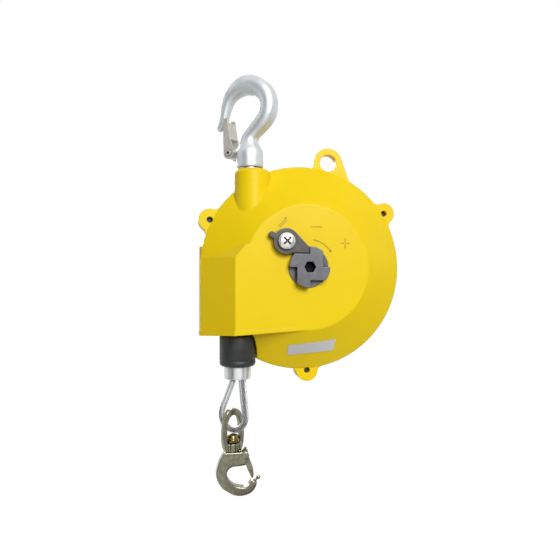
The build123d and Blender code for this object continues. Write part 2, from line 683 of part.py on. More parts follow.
def loop_tube(radius, start_z):
    """Tube of the given radius along the loop."""
    lines = loop_lines(start_z)
    path = loop_place() * Wire([line.edge() for line in lines])
    section = Plane(path @ 0, z_dir=path % 0) * Circle(radius)
    return sweep(section, path=path)


def rope_loop():
    """Rope loop below the ferrule, with its ends inside it."""
    return loop_tube(ROPE_D / 2, FERRULE_LOW_Z + 6)


def thimble():
    """Half-round liner on the inside of the loop."""
    start_z = FERRULE_LOW_Z - 0.8
    first, bend, last = loop_lines(start_z)
    inside = make_face([first.edge(), bend.edge(), last.edge(), Line(last @ 1, first @ 0).edge()])
    room = extrude(loop_place() * inside, amount=ROPE_D, both=True)
    shell = loop_tube(ROPE_D / 2 + THIMBLE_T, start_z) - loop_tube(ROPE_D / 2, start_z + 1)
    return shell & room


def ferrule():
    """Pressed sleeve that closes the loop."""
    body = cyl_z(FERRULE_R, ROPE_X, 0, FERRULE_LOW_Z, BUMPER_LOW_Z)
    body = fillet(body.edges().filter_by(GeomType.CIRCLE).sort_by(Axis.Z)[0], FERRULE_ROUND)
    return body - rope_loop()


def eye_place():
    """Placement of the eye's plane, drawn in (across, height)."""
    return turned_plane(EYE_TURN)


def eye_face(half_points, length):
    """Face of the eye from one half of its outline, stretched to the given length."""
    stretch = -length / half_points[-1][1]
    right = [(x, EYE_TOP_Z + z * stretch) for x, z in half_points]
    left = [(-x, z) for x, z in reversed(right[1:])]
    curve = Spline(*left, *right)
    return make_face([curve.edge(), Line(curve @ 1, curve @ 0).edge()])


def swivel_eye():
    """Long eye with a bridge at its foot for the swivel rivet."""
    ring = extrude(eye_place() * eye_face(EYE_HALF, EYE_L), amount=EYE_T / 2, both=True)
    ring -= extrude(eye_place() * eye_face(EYE_HOLE_HALF, EYE_L - BRIDGE_T), amount=EYE_T, both=True)
    floor = EYE_BOTTOM_Z + BRIDGE_T
    ring += cyl_z(SWIVEL_HEAD_R, SWIVEL_X, 0, EYE_BOTTOM_Z, floor)
    return ring - cyl_z(SWIVEL_RIVET_R + RUN_FIT, SWIVEL_X, 0, EYE_BOTTOM_Z - 1, floor + 1)


def snap_outline():
    """Outline of the snap hook's body, in X and Z."""
    places = [(SWIVEL_X + p[0], BODY_TOP_Z + p[1]) for p in SNAP_OUTLINE]
    edges = []
    for number, corner in enumerate(SNAP_OUTLINE[1:], 1):
        start, end = places[number - 1], places[number]
        if len(corner) == 2:
            edges.append(Line(start, end).edge())
        else:
            passed = (SWIVEL_X + corner[2], BODY_TOP_Z + corner[3])
            edges.append(ThreePointArc(start, passed, end).edge())
    return make_face(edges)


def snap_hook_body():
    """Flat cast snap hook with a slot for the gate."""
    body = slab(snap_outline(), -BODY_T / 2, BODY_T / 2)
    tip = Pos(SWIVEL_X + SNAP_TIP[0], BODY_TOP_Z + SNAP_TIP[1])
    stalk = tip * Rot(0, 0, SNAP_TIP_TURN) * Pos(-SNAP_TIP_R * 1.35, 0) * SlotCenterToCenter(*SNAP_TIP_STALK)
    body += slab(tip * Circle(SNAP_TIP_R) + stalk, -SNAP_TIP_R - 0.2, SNAP_TIP_R + 0.2)
    room = GATE_T / 2 + SEAT_GAP
    left, right, foot, head = GATE_ROOM
    body -= block(GATE_X + left, GATE_X + right, -room, room, BODY_TOP_Z + foot, BODY_TOP_Z + head)
    body -= cyl_y(RIVET_R + 0.02, GATE_X, GATE_Z, -BODY_T, BODY_T)
    return body - cyl_z(SWIVEL_RIVET_R + 0.02, SWIVEL_X, 0, BODY_TOP_Z - SWIVEL_RIVET_L, BODY_TOP_Z + 1)


def swivel_rivet():
    """Rivet that the snap hook turns on, with its domed head inside the eye."""
    floor = EYE_BOTTOM_Z + BRIDGE_T + SEAT_GAP
    head = cyl_z(SWIVEL_HEAD_R, SWIVEL_X, 0, floor, floor + SWIVEL_HEAD_H)
    head = fillet(head.edges().filter_by(GeomType.CIRCLE).sort_by(Axis.Z)[-1], SWIVEL_HEAD_H * 0.7)
    return head + cyl_z(SWIVEL_RIVET_R, SWIVEL_X, 0, BODY_TOP_Z - SWIVEL_RIVET_L, floor)


def gate():
    """Tapered gate that closes the snap hook from the inside of its tip."""
    outline = Polyline(*[(GATE_X + x, GATE_Z + z) for x, z in GATE_OUTLINE], close=True)
    body = slab(make_face(outline), -GATE_T / 2, GATE_T / 2)
    return body - cyl_y(RIVET_R + RUN_FIT, GATE_X, GATE_Z, -GATE_T, GATE_T)


def rivet(radius, x, z, half):
    """Rivet along Y with a low head at each end."""
    lip = radius + RIVET_LIP
    ends = cyl_y(lip, x, z, -half - RIVET_LIP_H, -half) + cyl_y(lip, x, z, half, half + RIVET_LIP_H)
    return cyl_y(radius, x, z, -half, half) + ends


def hook_place():
    """Placement of the top hook, drawn upright on the swivel axis."""
    return Pos(HOOK_X, 0, 0) * Rot(0, 0, -HOOK_TURN)


def forged_section(radius):
    """Round section with a flat towards the outside of the hook."""
    low = -radius * HOOK_FLAT
    side = math.sqrt(radius**2 - low**2)
    round_side = ThreePointArc((side, low), (0, radius), (-side, low))
    flat_side = Line((-side, low), (side, low))
    return make_face([round_side.edge(), flat_side.edge()])


def top_hook():
    """Forged hook: a tapering section carried round the bowl, shank, stem and latch ear."""
    sections = []
    for x, z, heading, thick in HOOK_STATIONS:
        turn = math.radians(heading)
        ahead = (math.cos(turn), 0, math.sin(turn))
        place = Plane(origin=(x, 0, NECK_TOP_Z + z), x_dir=(0, 1, 0), z_dir=ahead)
        sections.append(place * forged_section(thick / 2))
    hook = loft(sections)
    tip_x, tip_z, _, tip_thick = HOOK_STATIONS[-1]
    hook += Pos(tip_x, 0, NECK_TOP_Z + tip_z) * Sphere(tip_thick / 2)
    hook += cyl_z(SHANK_R, 0, 0, SHANK_Z, SHANK_Z + SHANK_H)
    shoulder_z = SHANK_Z + SHANK_H
    neck_r = HOOK_STATIONS[1][3] / 2
    top_z = shoulder_z + SHOULDER_H
    shoulder = Polyline((0, shoulder_z), (SHANK_R, shoulder_z), (neck_r, top_z), (0, top_z), close=True)
    hook += revolve(Plane.XZ * make_face(shoulder), Axis.Z)
    ear = Pos(LATCH_X, LATCH_Z) * Circle(EAR_R)
    ear += Pos(LATCH_X / 2 - 4, LATCH_Z) * Rectangle(-LATCH_X - 8, 2 * EAR_R)
    hook += slab(ear, -EAR_T / 2, EAR_T / 2)
    hook -= cyl_y(RIVET_R + 0.02, LATCH_X, LATCH_Z, -EAR_T, EAR_T)
    hook += cyl_z(STEM_R, 0, 0, NECK_SEAT_Z - SEAT_GAP - NUT_H - 1.5, SHANK_Z)
    return hook_place() * hook


def hook_nut():
    """Nut that holds the top hook in the neck."""
    top = NECK_SEAT_Z - SEAT_GAP
    body = Pos(0, 0, top - NUT_H) * extrude(RegularPolygon(NUT_AF / 2, 6, major_radius=False), amount=NUT_H)
    return hook_place() * (body - cyl_z(STEM_R + 0.02, 0, 0, top - NUT_H - 1, top + 1))


def neck_washer():
    """Washer between the neck and the hook's shank."""
    ring = cyl_z(SHANK_R - 1, HOOK_X, 0, NECK_TOP_Z, NECK_TOP_Z + WASHER_T - SEAT_GAP)
    return ring - cyl_z(STEM_R + 0.1, HOOK_X, 0, NECK_TOP_Z - 1, SHANK_Z + 1)


def top_latch():
    """Stamped latch: two cheeks joined by a tongue that closes on the inside of the hook's tip."""
    side = Polyline(*[(LATCH_X + x, LATCH_Z + z) for x, z in LATCH_SIDE], close=True)
    outline = make_face(side) + Pos(LATCH_X, LATCH_Z) * Circle(EAR_R + 0.4)
    half = LATCH_W / 2
    latch = slab(outline, -half - LATCH_T, -half) + slab(outline, half, half + LATCH_T)
    tongue = Polyline(*[(LATCH_X + x, LATCH_Z + z) for x, z in LATCH_TONGUE], close=True)
    latch += slab(make_face(tongue), -half - 0.1, half + 0.1)
    latch -= cyl_y(RIVET_R + RUN_FIT, LATCH_X, LATCH_Z, -2 * half, 2 * half)
    return hook_place() * latch


def latch_rivet():
    """Rivet through the ear and the latch's cheeks."""
    return hook_place() * rivet(RIVET_R, LATCH_X, LATCH_Z, LATCH_W / 2 + LATCH_T + SEAT_GAP)


def latch_spring():
    """Coil on the latch's rivet."""
    coil_y = (EAR_T + LATCH_W) / 4
    coil = Pos(LATCH_X, coil_y, LATCH_Z) * Rot(90, 0, 0) * Torus(RIVET_R + 1.0, SPRING_WIRE * 0.45)
    return hook_place() * coil


def build():
    """All pieces by node name."""
    parts = {
        "front_casing": front_casing(),
        "rear_casing": rear_casing(),
        "front_bush": bush(JOURNAL_R + BUSH_T, JOURNAL_R + RUN_FIT, FACE_Y, BOSS_Y),
        "rear_bush": bush(SHAFT_R + BUSH_T, SHAFT_R + RUN_FIT, HUB_Y1 + 1.5, BACK_Y),
        "rope_guide": rope_guide(),
        "pawl_screw": pawl_screw(),
        "pawl_spring": pawl_spring(),
        "main_shaft": main_shaft(),
        "ratchet_wheel": ratchet_wheel(),
        "retaining_ring": retaining_ring(),
        "pawl": pawl(),
        "drum": drum(),
        "spring_case_cover": spring_case_cover(),
        "front_bearing": bearing(HUB_Y0 + 0.5),
        "rear_bearing": bearing(HUB_Y1 - 0.5 - BEARING_W),
        "power_spring": power_spring(),
        "rope_wraps": rope_wraps(),
        "rope_stretch": rope_stretch(),
        "rubber_bumper": rubber_bumper(),
        "ferrule": ferrule(),
        "rope_loop": rope_loop(),
        "thimble": thimble(),
        "swivel_eye": swivel_eye(),
        "snap_hook_body": snap_hook_body(),
        "swivel_rivet": swivel_rivet(),
        "gate": gate(),
        "gate_rivet": rivet(RIVET_R, GATE_X, GATE_Z, BODY_T / 2),
        "top_hook": top_hook(),
        "hook_nut": hook_nut(),
        "neck_washer": neck_washer(),
        "top_latch": top_latch(),
        "latch_rivet": latch_rivet(),
        "latch_spring": latch_spring(),
    }
    for number, place in enumerate(lug_places(), 1):
        parts[f"casing_screw_{number}"] = casing_screw(place)
    return parts


os.makedirs("parts", exist_ok=True)
for name, solid in build().items():
    moved = Pos(-HOOK_X, 0, -(BOWL_Z + BOWL_R)) * solid
    export_step(moved, f"parts/{name}.step")
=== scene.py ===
"""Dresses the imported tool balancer: paint, forged and plated steel, wire rope, marks, light and camera."""
import json
import logging
import math
from dataclasses import dataclass
from enum import Enum

import bmesh
import bpy
from mathutils import Matrix, Vector


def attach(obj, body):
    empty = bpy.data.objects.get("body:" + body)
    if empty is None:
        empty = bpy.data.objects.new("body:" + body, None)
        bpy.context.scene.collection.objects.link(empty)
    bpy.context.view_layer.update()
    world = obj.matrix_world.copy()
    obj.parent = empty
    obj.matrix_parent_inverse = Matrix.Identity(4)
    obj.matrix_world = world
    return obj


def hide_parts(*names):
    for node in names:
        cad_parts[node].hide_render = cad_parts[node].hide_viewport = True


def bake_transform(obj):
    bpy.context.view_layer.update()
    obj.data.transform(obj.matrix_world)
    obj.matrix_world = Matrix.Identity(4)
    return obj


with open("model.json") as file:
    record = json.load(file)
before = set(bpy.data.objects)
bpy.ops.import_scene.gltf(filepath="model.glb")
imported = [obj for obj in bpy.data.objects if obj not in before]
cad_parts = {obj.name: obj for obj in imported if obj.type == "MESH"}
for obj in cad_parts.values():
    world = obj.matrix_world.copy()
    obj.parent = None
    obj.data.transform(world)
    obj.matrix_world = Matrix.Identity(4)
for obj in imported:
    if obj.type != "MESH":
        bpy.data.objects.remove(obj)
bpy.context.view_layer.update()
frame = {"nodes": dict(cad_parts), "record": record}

LOG = logging.getLogger("balancer")
MM = 0.001
SWIVEL_FROM_DRUM = 52.0  # the hook's swivel axis lies this far left of the drum's axis
SADDLE_OVER_DRUM = 167.9
FACE_Y = -30.0  # flat front face of the casing
CONE_R = (59.4, 100.0)  # radii where the casing's cone starts and ends
CONE_DEPTH = 30.0
ROPE_X = -64.0
EDGE_SHARP = 35.0  # degrees over which an edge stays sharp: on cut pieces, turned ones and rope
TURNED_SHARP = 50.0
ROPE_SHARP = 60.0
SAME_PLACE_MM = 0.001
EASE_SHARE = 0.5
SHADER_SAMPLES = 6
OPEN_SHARE = (0.35, 0.9)  # share of open surroundings far inside a narrow gap and on an open face, for the painted shade in crevices
EDGE_COSINE = (0.995, 0.86)  # between face and rounded normal: off the edge and on it
Socket = bpy.types.NodeSocket
Shape = bmesh.types.BMesh
Piece = bpy.types.Object
Colour = tuple[float, float, float, float]
Point2 = tuple[float, float]
Point3 = tuple[float, float, float]
BODY_OF = {node: body for body, nodes in frame["record"]["behaviour"]["bodies"].items() for node in nodes}


def at(x: float, y: float, z: float) -> Vector:
    """Point in the frame's metres.

    Args:
        x: millimetres to the right of the drum's axis.
        y: millimetres behind the rope's plane.
        z: millimetres over the drum's axis.

    Returns:
        The same point, measured from the saddle of the top hook.
    """
    return Vector(((x + SWIVEL_FROM_DRUM) * MM, y * MM, (z - SADDLE_OVER_DRUM) * MM))


class Graph:
    """Node tree while it is put together."""

    def __init__(self, tree: bpy.types.NodeTree) -> None:
        """Takes the tree that the nodes go into.

        Args:
            tree: tree of a material or a world.
        """
        self.tree = tree

    def add(self, kind: str, settings: dict, inputs: dict) -> bpy.types.Node:
        """Adds a node.

        Args:
            kind: the node's type.
            settings: its properties.
            inputs: values or sockets for its inputs, by name or number.

        Returns:
            The new node.
        """
        node = self.tree.nodes.new(kind)
        for key, value in settings.items():
            setattr(node, key, value)
        for key, value in inputs.items():
            if isinstance(value, Socket):
                self.tree.links.new(value, node.inputs[key])
            else:
                node.inputs[key].default_value = value
        return node

    def spread(self, value: Socket, source: Point2, target: Point2) -> Socket:
        """Value in a source range, spread over a target range.

        Args:
            value: socket that gives the value.
            source: the value's two ends.
            target: what the two ends become.

        Returns:
            The spread value.
        """
        inputs = {"Value": value, "From Min": source[0], "From Max": source[1]}
        inputs |= {"To Min": target[0], "To Max": target[1]}
        return self.add("ShaderNodeMapRange", {}, inputs).outputs["Result"]

    def math(self, operation: str, first: Socket | float, second: Socket | float) -> Socket:
        """Result of one sum, kept between 0 and 1.

        Args:
            operation: what is done with the two.
            first: value or socket.
            second: value or socket.

        Returns:
            The result.
        """
        settings = {"operation": operation, "use_clamp": True}
        return self.add("ShaderNodeMath", settings, {0: first, 1: second}).outputs[0]


class Recipe(Graph):
    """Node tree of one finish."""

    def __init__(self, name: str) -> None:
        """Starts a material with its shader.

        Args:
            name: name of the material.
        """
        self.material = bpy.data.materials.new(name)
        self.material.use_nodes = True
        super().__init__(self.material.node_tree)
        self.shader = self.tree.nodes["Principled BSDF"]

    def place(self, stretch: Point3) -> Socket:
        """Object coordinates, stretched along the axes."""
        where = self.add("ShaderNodeTexCoord", {}, {})
        moved = self.add("ShaderNodeMapping", {}, {"Vector": where.outputs["Object"], "Scale": stretch})
        return moved.outputs["Vector"]

    def noise(self, place: Socket, size_mm: float, detail: float) -> Socket:
        """Noise whose spots are about the given size.

        Args:
            place: socket with the coordinates.
            size_mm: size of a spot.
            detail: how many finer layers it has.

        Returns:
            The noise, about 0.5 on average.
        """
        inputs = {"Vector": place, "Scale": 1 / (size_mm * MM), "Detail": detail, "Roughness": 0.6}
        return self.add("ShaderNodeTexNoise", {}, inputs).outputs["Fac"]

    def blend(self, share: Socket, first: Socket | Colour, second: Socket | Colour) -> Socket:
        """Colour between two colours or colour sockets.

        Args:
            share: 0 for the first, 1 for the second.
            first: one colour.
            second: the other.

        Returns:
            The blended colour.
        """
        node = self.add("ShaderNodeMix", {"data_type": "RGBA"}, {0: share, 6: first, 7: second})
        return node.outputs[2]

    def edge_normal(self, radius_mm: float) -> Socket:
        """Normal that is rounded over the piece's edges."""
        bevel = self.add("ShaderNodeBevel", {"samples": SHADER_SAMPLES}, {"Radius": radius_mm * MM})
        return bevel.outputs["Normal"]

    def crevice_shade(self, reach_mm: float) -> Socket:
        """Painted shade share: 1 far inside a narrow gap and 0 in the open."""
        settings = {"samples": SHADER_SAMPLES}
        around = self.add("ShaderNodeAmbientOcclusion", settings, {"Distance": reach_mm * MM})
        return self.spread(around.outputs["AO"], OPEN_SHARE, (1.0, 0.0))

    def edge_share(self, rounded: Socket) -> Socket:
        """1 on the piece's edges and 0 away from them."""
        flat = self.add("ShaderNodeNewGeometry", {}, {}).outputs["Normal"]
        along = self.add("ShaderNodeVectorMath", {"operation": "DOT_PRODUCT"}, {0: rounded, 1: flat})
        return self.spread(along.outputs["Value"], EDGE_COSINE, (0.0, 1.0))


def colour(red: float, green: float, blue: float) -> Colour:
    """Opaque colour.

    Args:
        red: linear share of red, 0 to 1.
        green: that of green.
        blue: that of blue.

    Returns:
        The four values.
    """
    return (red, green, blue, 1.0)


@dataclass(frozen=True)
class Finish:
    """Paint, plating, bare metal, rubber or plastic, with its clouding, grain and edges.

    The colour clouds between light and dark, turns to the lighter edge colour on the edges, partly wear and
    partly painted highlight, and darkens in crevices as painted shade.
    """

    name: str
    light: Point3
    dark: Point3
    # lighter colour on the edges: partly paint wear, partly painted highlight
    edge: Point3
    wear_and_highlight_amount: float
    metallic: float
    smooth: float
    rough: float
    cloud_mm: float
    grain_mm: float
    grain_depth_mm: float
    stretch: Point3 = (1.0, 1.0, 1.0)
    sheen: float = 0.5
    edge_mm: float = 0.5
    # painted shade in crevices: how far it reaches, how strong it is and how dark it gets
    shade_reach_mm: float = 2.5
    painted_shade_amount: float = 0.75
    painted_shade_tone: float = 0.12
    cloud_detail: float = 4.0
    grain_detail: float = 3.0
    cloud_range: Point2 = (0.3, 0.7)
    rough_range: Point2 = (0.35, 0.65)

    def make(self) -> bpy.types.Material:
        """Builds the finish's material.

        Returns:
            The new material.
        """
        recipe = Recipe(self.name)
        place = recipe.place(self.stretch)
        cloud = recipe.noise(place, self.cloud_mm, self.cloud_detail)
        grain = recipe.noise(place, self.grain_mm, self.grain_detail)
        rounded = recipe.edge_normal(self.edge_mm)
        # lighter edge colour along the rounded edges: partly wear, partly painted highlight
        edges = recipe.math("MULTIPLY", recipe.edge_share(rounded), self.wear_and_highlight_amount)
        clouded = recipe.spread(cloud, self.cloud_range, (0.0, 1.0))
        body = recipe.blend(clouded, colour(*self.light), colour(*self.dark))
        relief = {"Strength": 1.0, "Distance": self.grain_depth_mm * MM, "Height": grain, "Normal": rounded}
        bump = recipe.add("ShaderNodeBump", {}, relief)
        mixed = recipe.math("ADD", recipe.math("MULTIPLY", cloud, 0.5), recipe.math("MULTIPLY", grain, 0.5))
        # painted shade: the colour darkens towards near-black where ambient occlusion finds crevices
        painted_shade_share = recipe.math("MULTIPLY", recipe.crevice_shade(self.shade_reach_mm), self.painted_shade_amount)
        worn_and_highlit = recipe.blend(edges, body, colour(*self.edge))
        painted_shade_colour = colour(*(tone * self.painted_shade_tone for tone in self.dark))
        links = {
            "Base Color": recipe.blend(painted_shade_share, worn_and_highlit, painted_shade_colour),
            "Roughness": recipe.spread(mixed, self.rough_range, (self.smooth, self.rough)),
            "Normal": bump.outputs["Normal"],
        }
        for name, socket in links.items():
            recipe.tree.links.new(socket, recipe.shader.inputs[name])
        recipe.shader.inputs["Metallic"].default_value = self.metallic
        recipe.shader.inputs["Specular IOR Level"].default_value = self.sheen
        return recipe.material


class Finishes(Enum):
    """The finishes of the balancer's pieces."""

    YELLOW_PAINT = Finish(
        "yellow_paint", (0.92, 0.665, 0.003), (0.89, 0.63, 0.002), (0.96, 0.74, 0.03),
        0.45, 0.0, 0.32, 0.44, 40.0, 0.9, 0.012, sheen=0.22, edge_mm=1.2, painted_shade_amount=0.25,
    )
    # dark brown on the moulded ridges, which are the casing's own yellow: painted shade
    MARK_LINE = Finish(
        "mark_line", (0.40, 0.24, 0.02), (0.30, 0.17, 0.015), (0.5, 0.32, 0.03),
        0.3, 0.0, 0.40, 0.55, 4.0, 0.5, 0.01, edge_mm=0.1,
    )
    FORGED_STEEL = Finish(
        "forged_steel", (0.70, 0.74, 0.755), (0.58, 0.62, 0.64), (0.88, 0.90, 0.91),
        0.6, 0.65, 0.36, 0.52, 12.0, 0.6, 0.025, edge_mm=1.4, painted_shade_amount=0.4,
    )
    LATCH_STEEL = Finish(
        "latch_steel", (0.62, 0.60, 0.54), (0.50, 0.48, 0.43), (0.82, 0.80, 0.75),
        0.6, 0.5, 0.36, 0.54, 6.0, 0.5, 0.01, edge_mm=0.3,
    )
    ZINC = Finish(
        "zinc", (0.80, 0.80, 0.79), (0.68, 0.68, 0.67), (0.9, 0.9, 0.9),
        0.5, 0.9, 0.22, 0.36, 5.0, 0.4, 0.008, edge_mm=0.3,
    )
    # dark steel of the springs; on the casing screws, whose ends sit in the lug holes, it is painted shade
    SPRING_STEEL = Finish(
        "spring_steel", (0.20, 0.20, 0.21), (0.12, 0.12, 0.13), (0.4, 0.4, 0.4),
        0.4, 0.8, 0.30, 0.45, 5.0, 0.4, 0.006, edge_mm=0.2,
    )
    WHEEL_STEEL = Finish(
        "wheel_steel", (0.135, 0.135, 0.145), (0.085, 0.085, 0.095), (0.36, 0.36, 0.38),
        0.6, 0.7, 0.30, 0.46, 7.0, 0.35, 0.012, edge_mm=0.5, shade_reach_mm=5.0, painted_shade_amount=0.95,
    )
    PAWL_STEEL = Finish(
        "pawl_steel", (0.075, 0.073, 0.070), (0.045, 0.044, 0.042), (0.26, 0.25, 0.24),
        0.6, 0.6, 0.32, 0.48, 6.0, 0.35, 0.010, edge_mm=0.5, painted_shade_amount=0.9,
    )
    BRONZE = Finish(
        "bronze", (0.55, 0.36, 0.14), (0.42, 0.27, 0.10), (0.7, 0.5, 0.25),
        0.4, 0.9, 0.30, 0.42, 6.0, 0.4, 0.008, edge_mm=0.2,
    )
    NYLON = Finish(
        "nylon", (0.030, 0.030, 0.032), (0.020, 0.020, 0.022), (0.06, 0.06, 0.06),
        0.4, 0.0, 0.45, 0.60, 8.0, 0.5, 0.012, edge_mm=0.3,
    )
    ALUMINIUM = Finish(
        "aluminium", (0.78, 0.80, 0.79), (0.66, 0.68, 0.67), (0.92, 0.92, 0.92),
        0.5, 0.85, 0.28, 0.42, 9.0, 0.6, 0.006, stretch=(1.0, 1.0, 0.12), edge_mm=0.4,
    )
    ROPE_WIRE = Finish(
        "rope_wire", (0.52, 0.53, 0.54), (0.34, 0.35, 0.36), (0.7, 0.7, 0.7),
        0.2, 0.85, 0.28, 0.44, 3.0, 0.25, 0.020, stretch=(1.0, 1.0, 0.35), edge_mm=0.1, shade_reach_mm=1.2,
        painted_shade_amount=0.95,
    )
    RUBBER = Finish(
        "rubber", (0.028, 0.030, 0.031), (0.020, 0.021, 0.022), (0.055, 0.057, 0.058),
        0.5, 0.0, 0.42, 0.56, 10.0, 0.5, 0.015, edge_mm=0.6,
    )
    NICKEL = Finish(
        "nickel", (0.30, 0.295, 0.22), (0.17, 0.16, 0.105), (0.80, 0.79, 0.70),
        0.6, 1.0, 0.13, 0.26, 5.0, 1.2, 0.012, edge_mm=1.4, painted_shade_amount=0.9,
    )
    OILED_NICKEL = Finish(
        "oiled_nickel", (0.30, 0.23, 0.09), (0.13, 0.09, 0.035), (0.70, 0.62, 0.40),
        0.6, 1.0, 0.14, 0.26, 4.0, 0.8, 0.010, edge_mm=0.8, painted_shade_amount=0.9,
    )
    # near-black: painted shade inside the wheel's hex socket and inside the latch rivet's hole
    PAINTED_HOLLOW_SHADE = Finish(
        "painted_hollow_shade", (0.012, 0.012, 0.013), (0.008, 0.008, 0.009), (0.02, 0.02, 0.02),
        0.2, 0.0, 0.6, 0.8, 5.0, 0.5, 0.002, sheen=0.1, edge_mm=0.1,
    )
    BARE_PLATE = Finish(
        "bare_plate", (0.80, 0.81, 0.80), (0.72, 0.73, 0.72), (0.88, 0.88, 0.88),
        0.4, 0.35, 0.34, 0.46, 8.0, 0.4, 0.004, stretch=(0.15, 1.0, 1.0), edge_mm=0.15,
    )


SLOT_FINISH = {
    "casing_yellow": Finishes.YELLOW_PAINT,
    "zinc_steel": Finishes.ZINC,
    "spring_steel": Finishes.SPRING_STEEL,
    "bronze": Finishes.BRONZE,
    "black_nylon": Finishes.NYLON,
    "hook_steel": Finishes.FORGED_STEEL,
    "latch_steel": Finishes.LATCH_STEEL,
    "wheel_steel": Finishes.WHEEL_STEEL,
    "dark_steel": Finishes.PAWL_STEEL,
    "bare_aluminium": Finishes.ALUMINIUM,
    "wire_rope": Finishes.ROPE_WIRE,
    "black_rubber": Finishes.RUBBER,
    "nickel_plate": Finishes.NICKEL,
}
SLOT_OF = {part["node"]: part["material_slot"] for part in frame["record"]["subparts"]}


class PaintShop:
    """Makes each finish once and puts it on pieces."""

    def __init__(self) -> None:
        """Starts with no finish made."""
        self.made: dict[Finishes, bpy.types.Material] = {}

    def material(self, finish: Finishes) -> bpy.types.Material:
        """The finish's material, made at its first use."""
        if finish not in self.made:
            self.made[finish] = finish.value.make()
        return self.made[finish]

    def dress(self, piece: Piece, finish: Finishes) -> None:
        """Puts one finish on a new piece."""
        piece.data.materials.clear()
        piece.data.materials.append(self.material(finish))

    def dress_nodes(self, *nodes: str) -> None:
        """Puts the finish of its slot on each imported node."""
        for node in nodes:
            for place in frame["nodes"][node].material_slots:
                place.material = self.material(SLOT_FINISH[SLOT_OF[node]])


SHOP = PaintShop()


def finished(piece: Piece) -> bpy.types.Mesh:
    """Mesh of a piece with its modifiers in it.

    Args:
        piece: object with modifiers, or a curve.

    Returns:
        A new mesh.
    """
    graph = bpy.context.evaluated_depsgraph_get()
    graph.update()
    return bpy.data.meshes.new_from_object(piece.evaluated_get(graph), depsgraph=graph)


def settle(piece: Piece) -> None:
    """Works a piece's modifiers into its mesh."""
    mesh = finished(piece)
    piece.modifiers.clear()
    piece.data = mesh


def added(name: str, data: bpy.types.ID) -> Piece:
    """Object with the given mesh, curve, lamp or camera, in the scene."""
    made = bpy.data.objects.new(name, data)
    bpy.context.scene.collection.objects.link(made)
    return made


def placed(name: str, shape: Shape) -> Piece:
    """Object with the shape of a bmesh, which is freed."""
    mesh = bpy.data.meshes.new(name)
    shape.to_mesh(mesh)
    shape.free()
    return added(name, mesh)


def shaded(piece: Piece, sharp: float) -> None:
    """Shades a piece smooth, with sharp edges over the given angle in degrees."""
    piece.data.shade_smooth()
    piece.data.set_sharp_from_angle(angle=math.radians(sharp))


def piece_from(name: str, shape: Shape, finish: Finishes, sharp: float = EDGE_SHARP) -> Piece:
    """Piece made of a bmesh.

    Args:
        name: name of the piece.
        shape: its mesh, in the frame's metres; it is freed.
        finish: what it is made of.
        sharp: angle in degrees over which an edge stays sharp.

    Returns:
        The new object, in the scene.
    """
    piece = placed(name, shape)
    shaded(piece, sharp)
    SHOP.dress(piece, finish)
    return piece


def carried(piece: Piece, body: str, slot: str, *nodes: str) -> Piece:
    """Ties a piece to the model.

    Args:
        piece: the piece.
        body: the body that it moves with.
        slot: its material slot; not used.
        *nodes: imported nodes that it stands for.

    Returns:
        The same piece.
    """
    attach(piece, body)
    if nodes:
        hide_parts(*nodes)
    LOG.info("%s rides on %s, %d faces", piece.name, body, len(piece.data.polygons))
    return piece


def softened(name: str, node: str, voxel_mm: float, rounds: int, finish: Finishes) -> Piece:
    """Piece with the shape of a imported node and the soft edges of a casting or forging.

    Args:
        name: name of the piece.
        node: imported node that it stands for.
        voxel_mm: size of its facets.
        rounds: how often the surface is smoothed.
        finish: what it is made of.

    Returns:
        The new object, tied to the node's body.
    """
    shape = bmesh.new()
    shape.from_mesh(frame["nodes"][node].data)
    bmesh.ops.remove_doubles(shape, verts=shape.verts, dist=SAME_PLACE_MM * MM)
    piece = piece_from(name, shape, finish)
    cells = piece.modifiers.new("cells", "REMESH")
    cells.mode = "VOXEL"
    cells.voxel_size = voxel_mm * MM
    ease = piece.modifiers.new("ease", "SMOOTH")
    ease.factor = EASE_SHARE
    ease.iterations = rounds
    settle(piece)
    piece.data.shade_smooth()
    SHOP.dress(piece, finish)
    return carried(piece, BODY_OF[node], SLOT_OF[node], node)


def turned_shape(profile: list[Point2], steps: int) -> Shape:
    """Solid of revolution about Z.

    Args:
        profile: (radius, height) points in millimetres, from the axis round to the axis, or a closed ring.
        steps: number of facets round the axis.

    Returns:
        The closed shape.
    """
    shape = bmesh.new()
    points = [shape.verts.new((radius * MM, 0.0, height * MM)) for radius, height in profile]
    for first, second in zip(points, points[1:]):
        shape.edges.new((first, second))
    if profile[0][0] > 0:
        shape.edges.new((points[-1], points[0]))
    bmesh.ops.spin(
        shape, geom=shape.verts[:] + shape.edges[:], cent=(0, 0, 0), axis=(0, 0, 1), dvec=(0, 0, 0),
        angle=2 * math.pi, steps=steps, use_merge=True, use_duplicate=False,
    )
    bmesh.ops.remove_doubles(shape, verts=shape.verts, dist=SAME_PLACE_MM * MM)
    bmesh.ops.recalc_face_normals(shape, faces=shape.faces)
    return shape


def block_shape(low: Point3, high: Point3, round_mm: float) -> Shape:
    """Block with rounded edges.

    Args:
        low: its lowest corner in millimetres.
        high: its highest corner.
        round_mm: radius of its edges.

    Returns:
        The closed shape.
    """
    shape = bmesh.new()
    bmesh.ops.create_cube(shape, size=1.0)
    size = [(b - a) * MM for a, b in zip(low, high)]
    centre = [(a + b) / 2 * MM for a, b in zip(low, high)]
    bmesh.ops.scale(shape, vec=size, verts=shape.verts)
    bmesh.ops.translate(shape, vec=centre, verts=shape.verts)
    bmesh.ops.bevel(
        shape, geom=shape.edges[:], offset=round_mm * MM, segments=2, profile=0.5, affect="EDGES",
        material=-1,
    )
    return shape


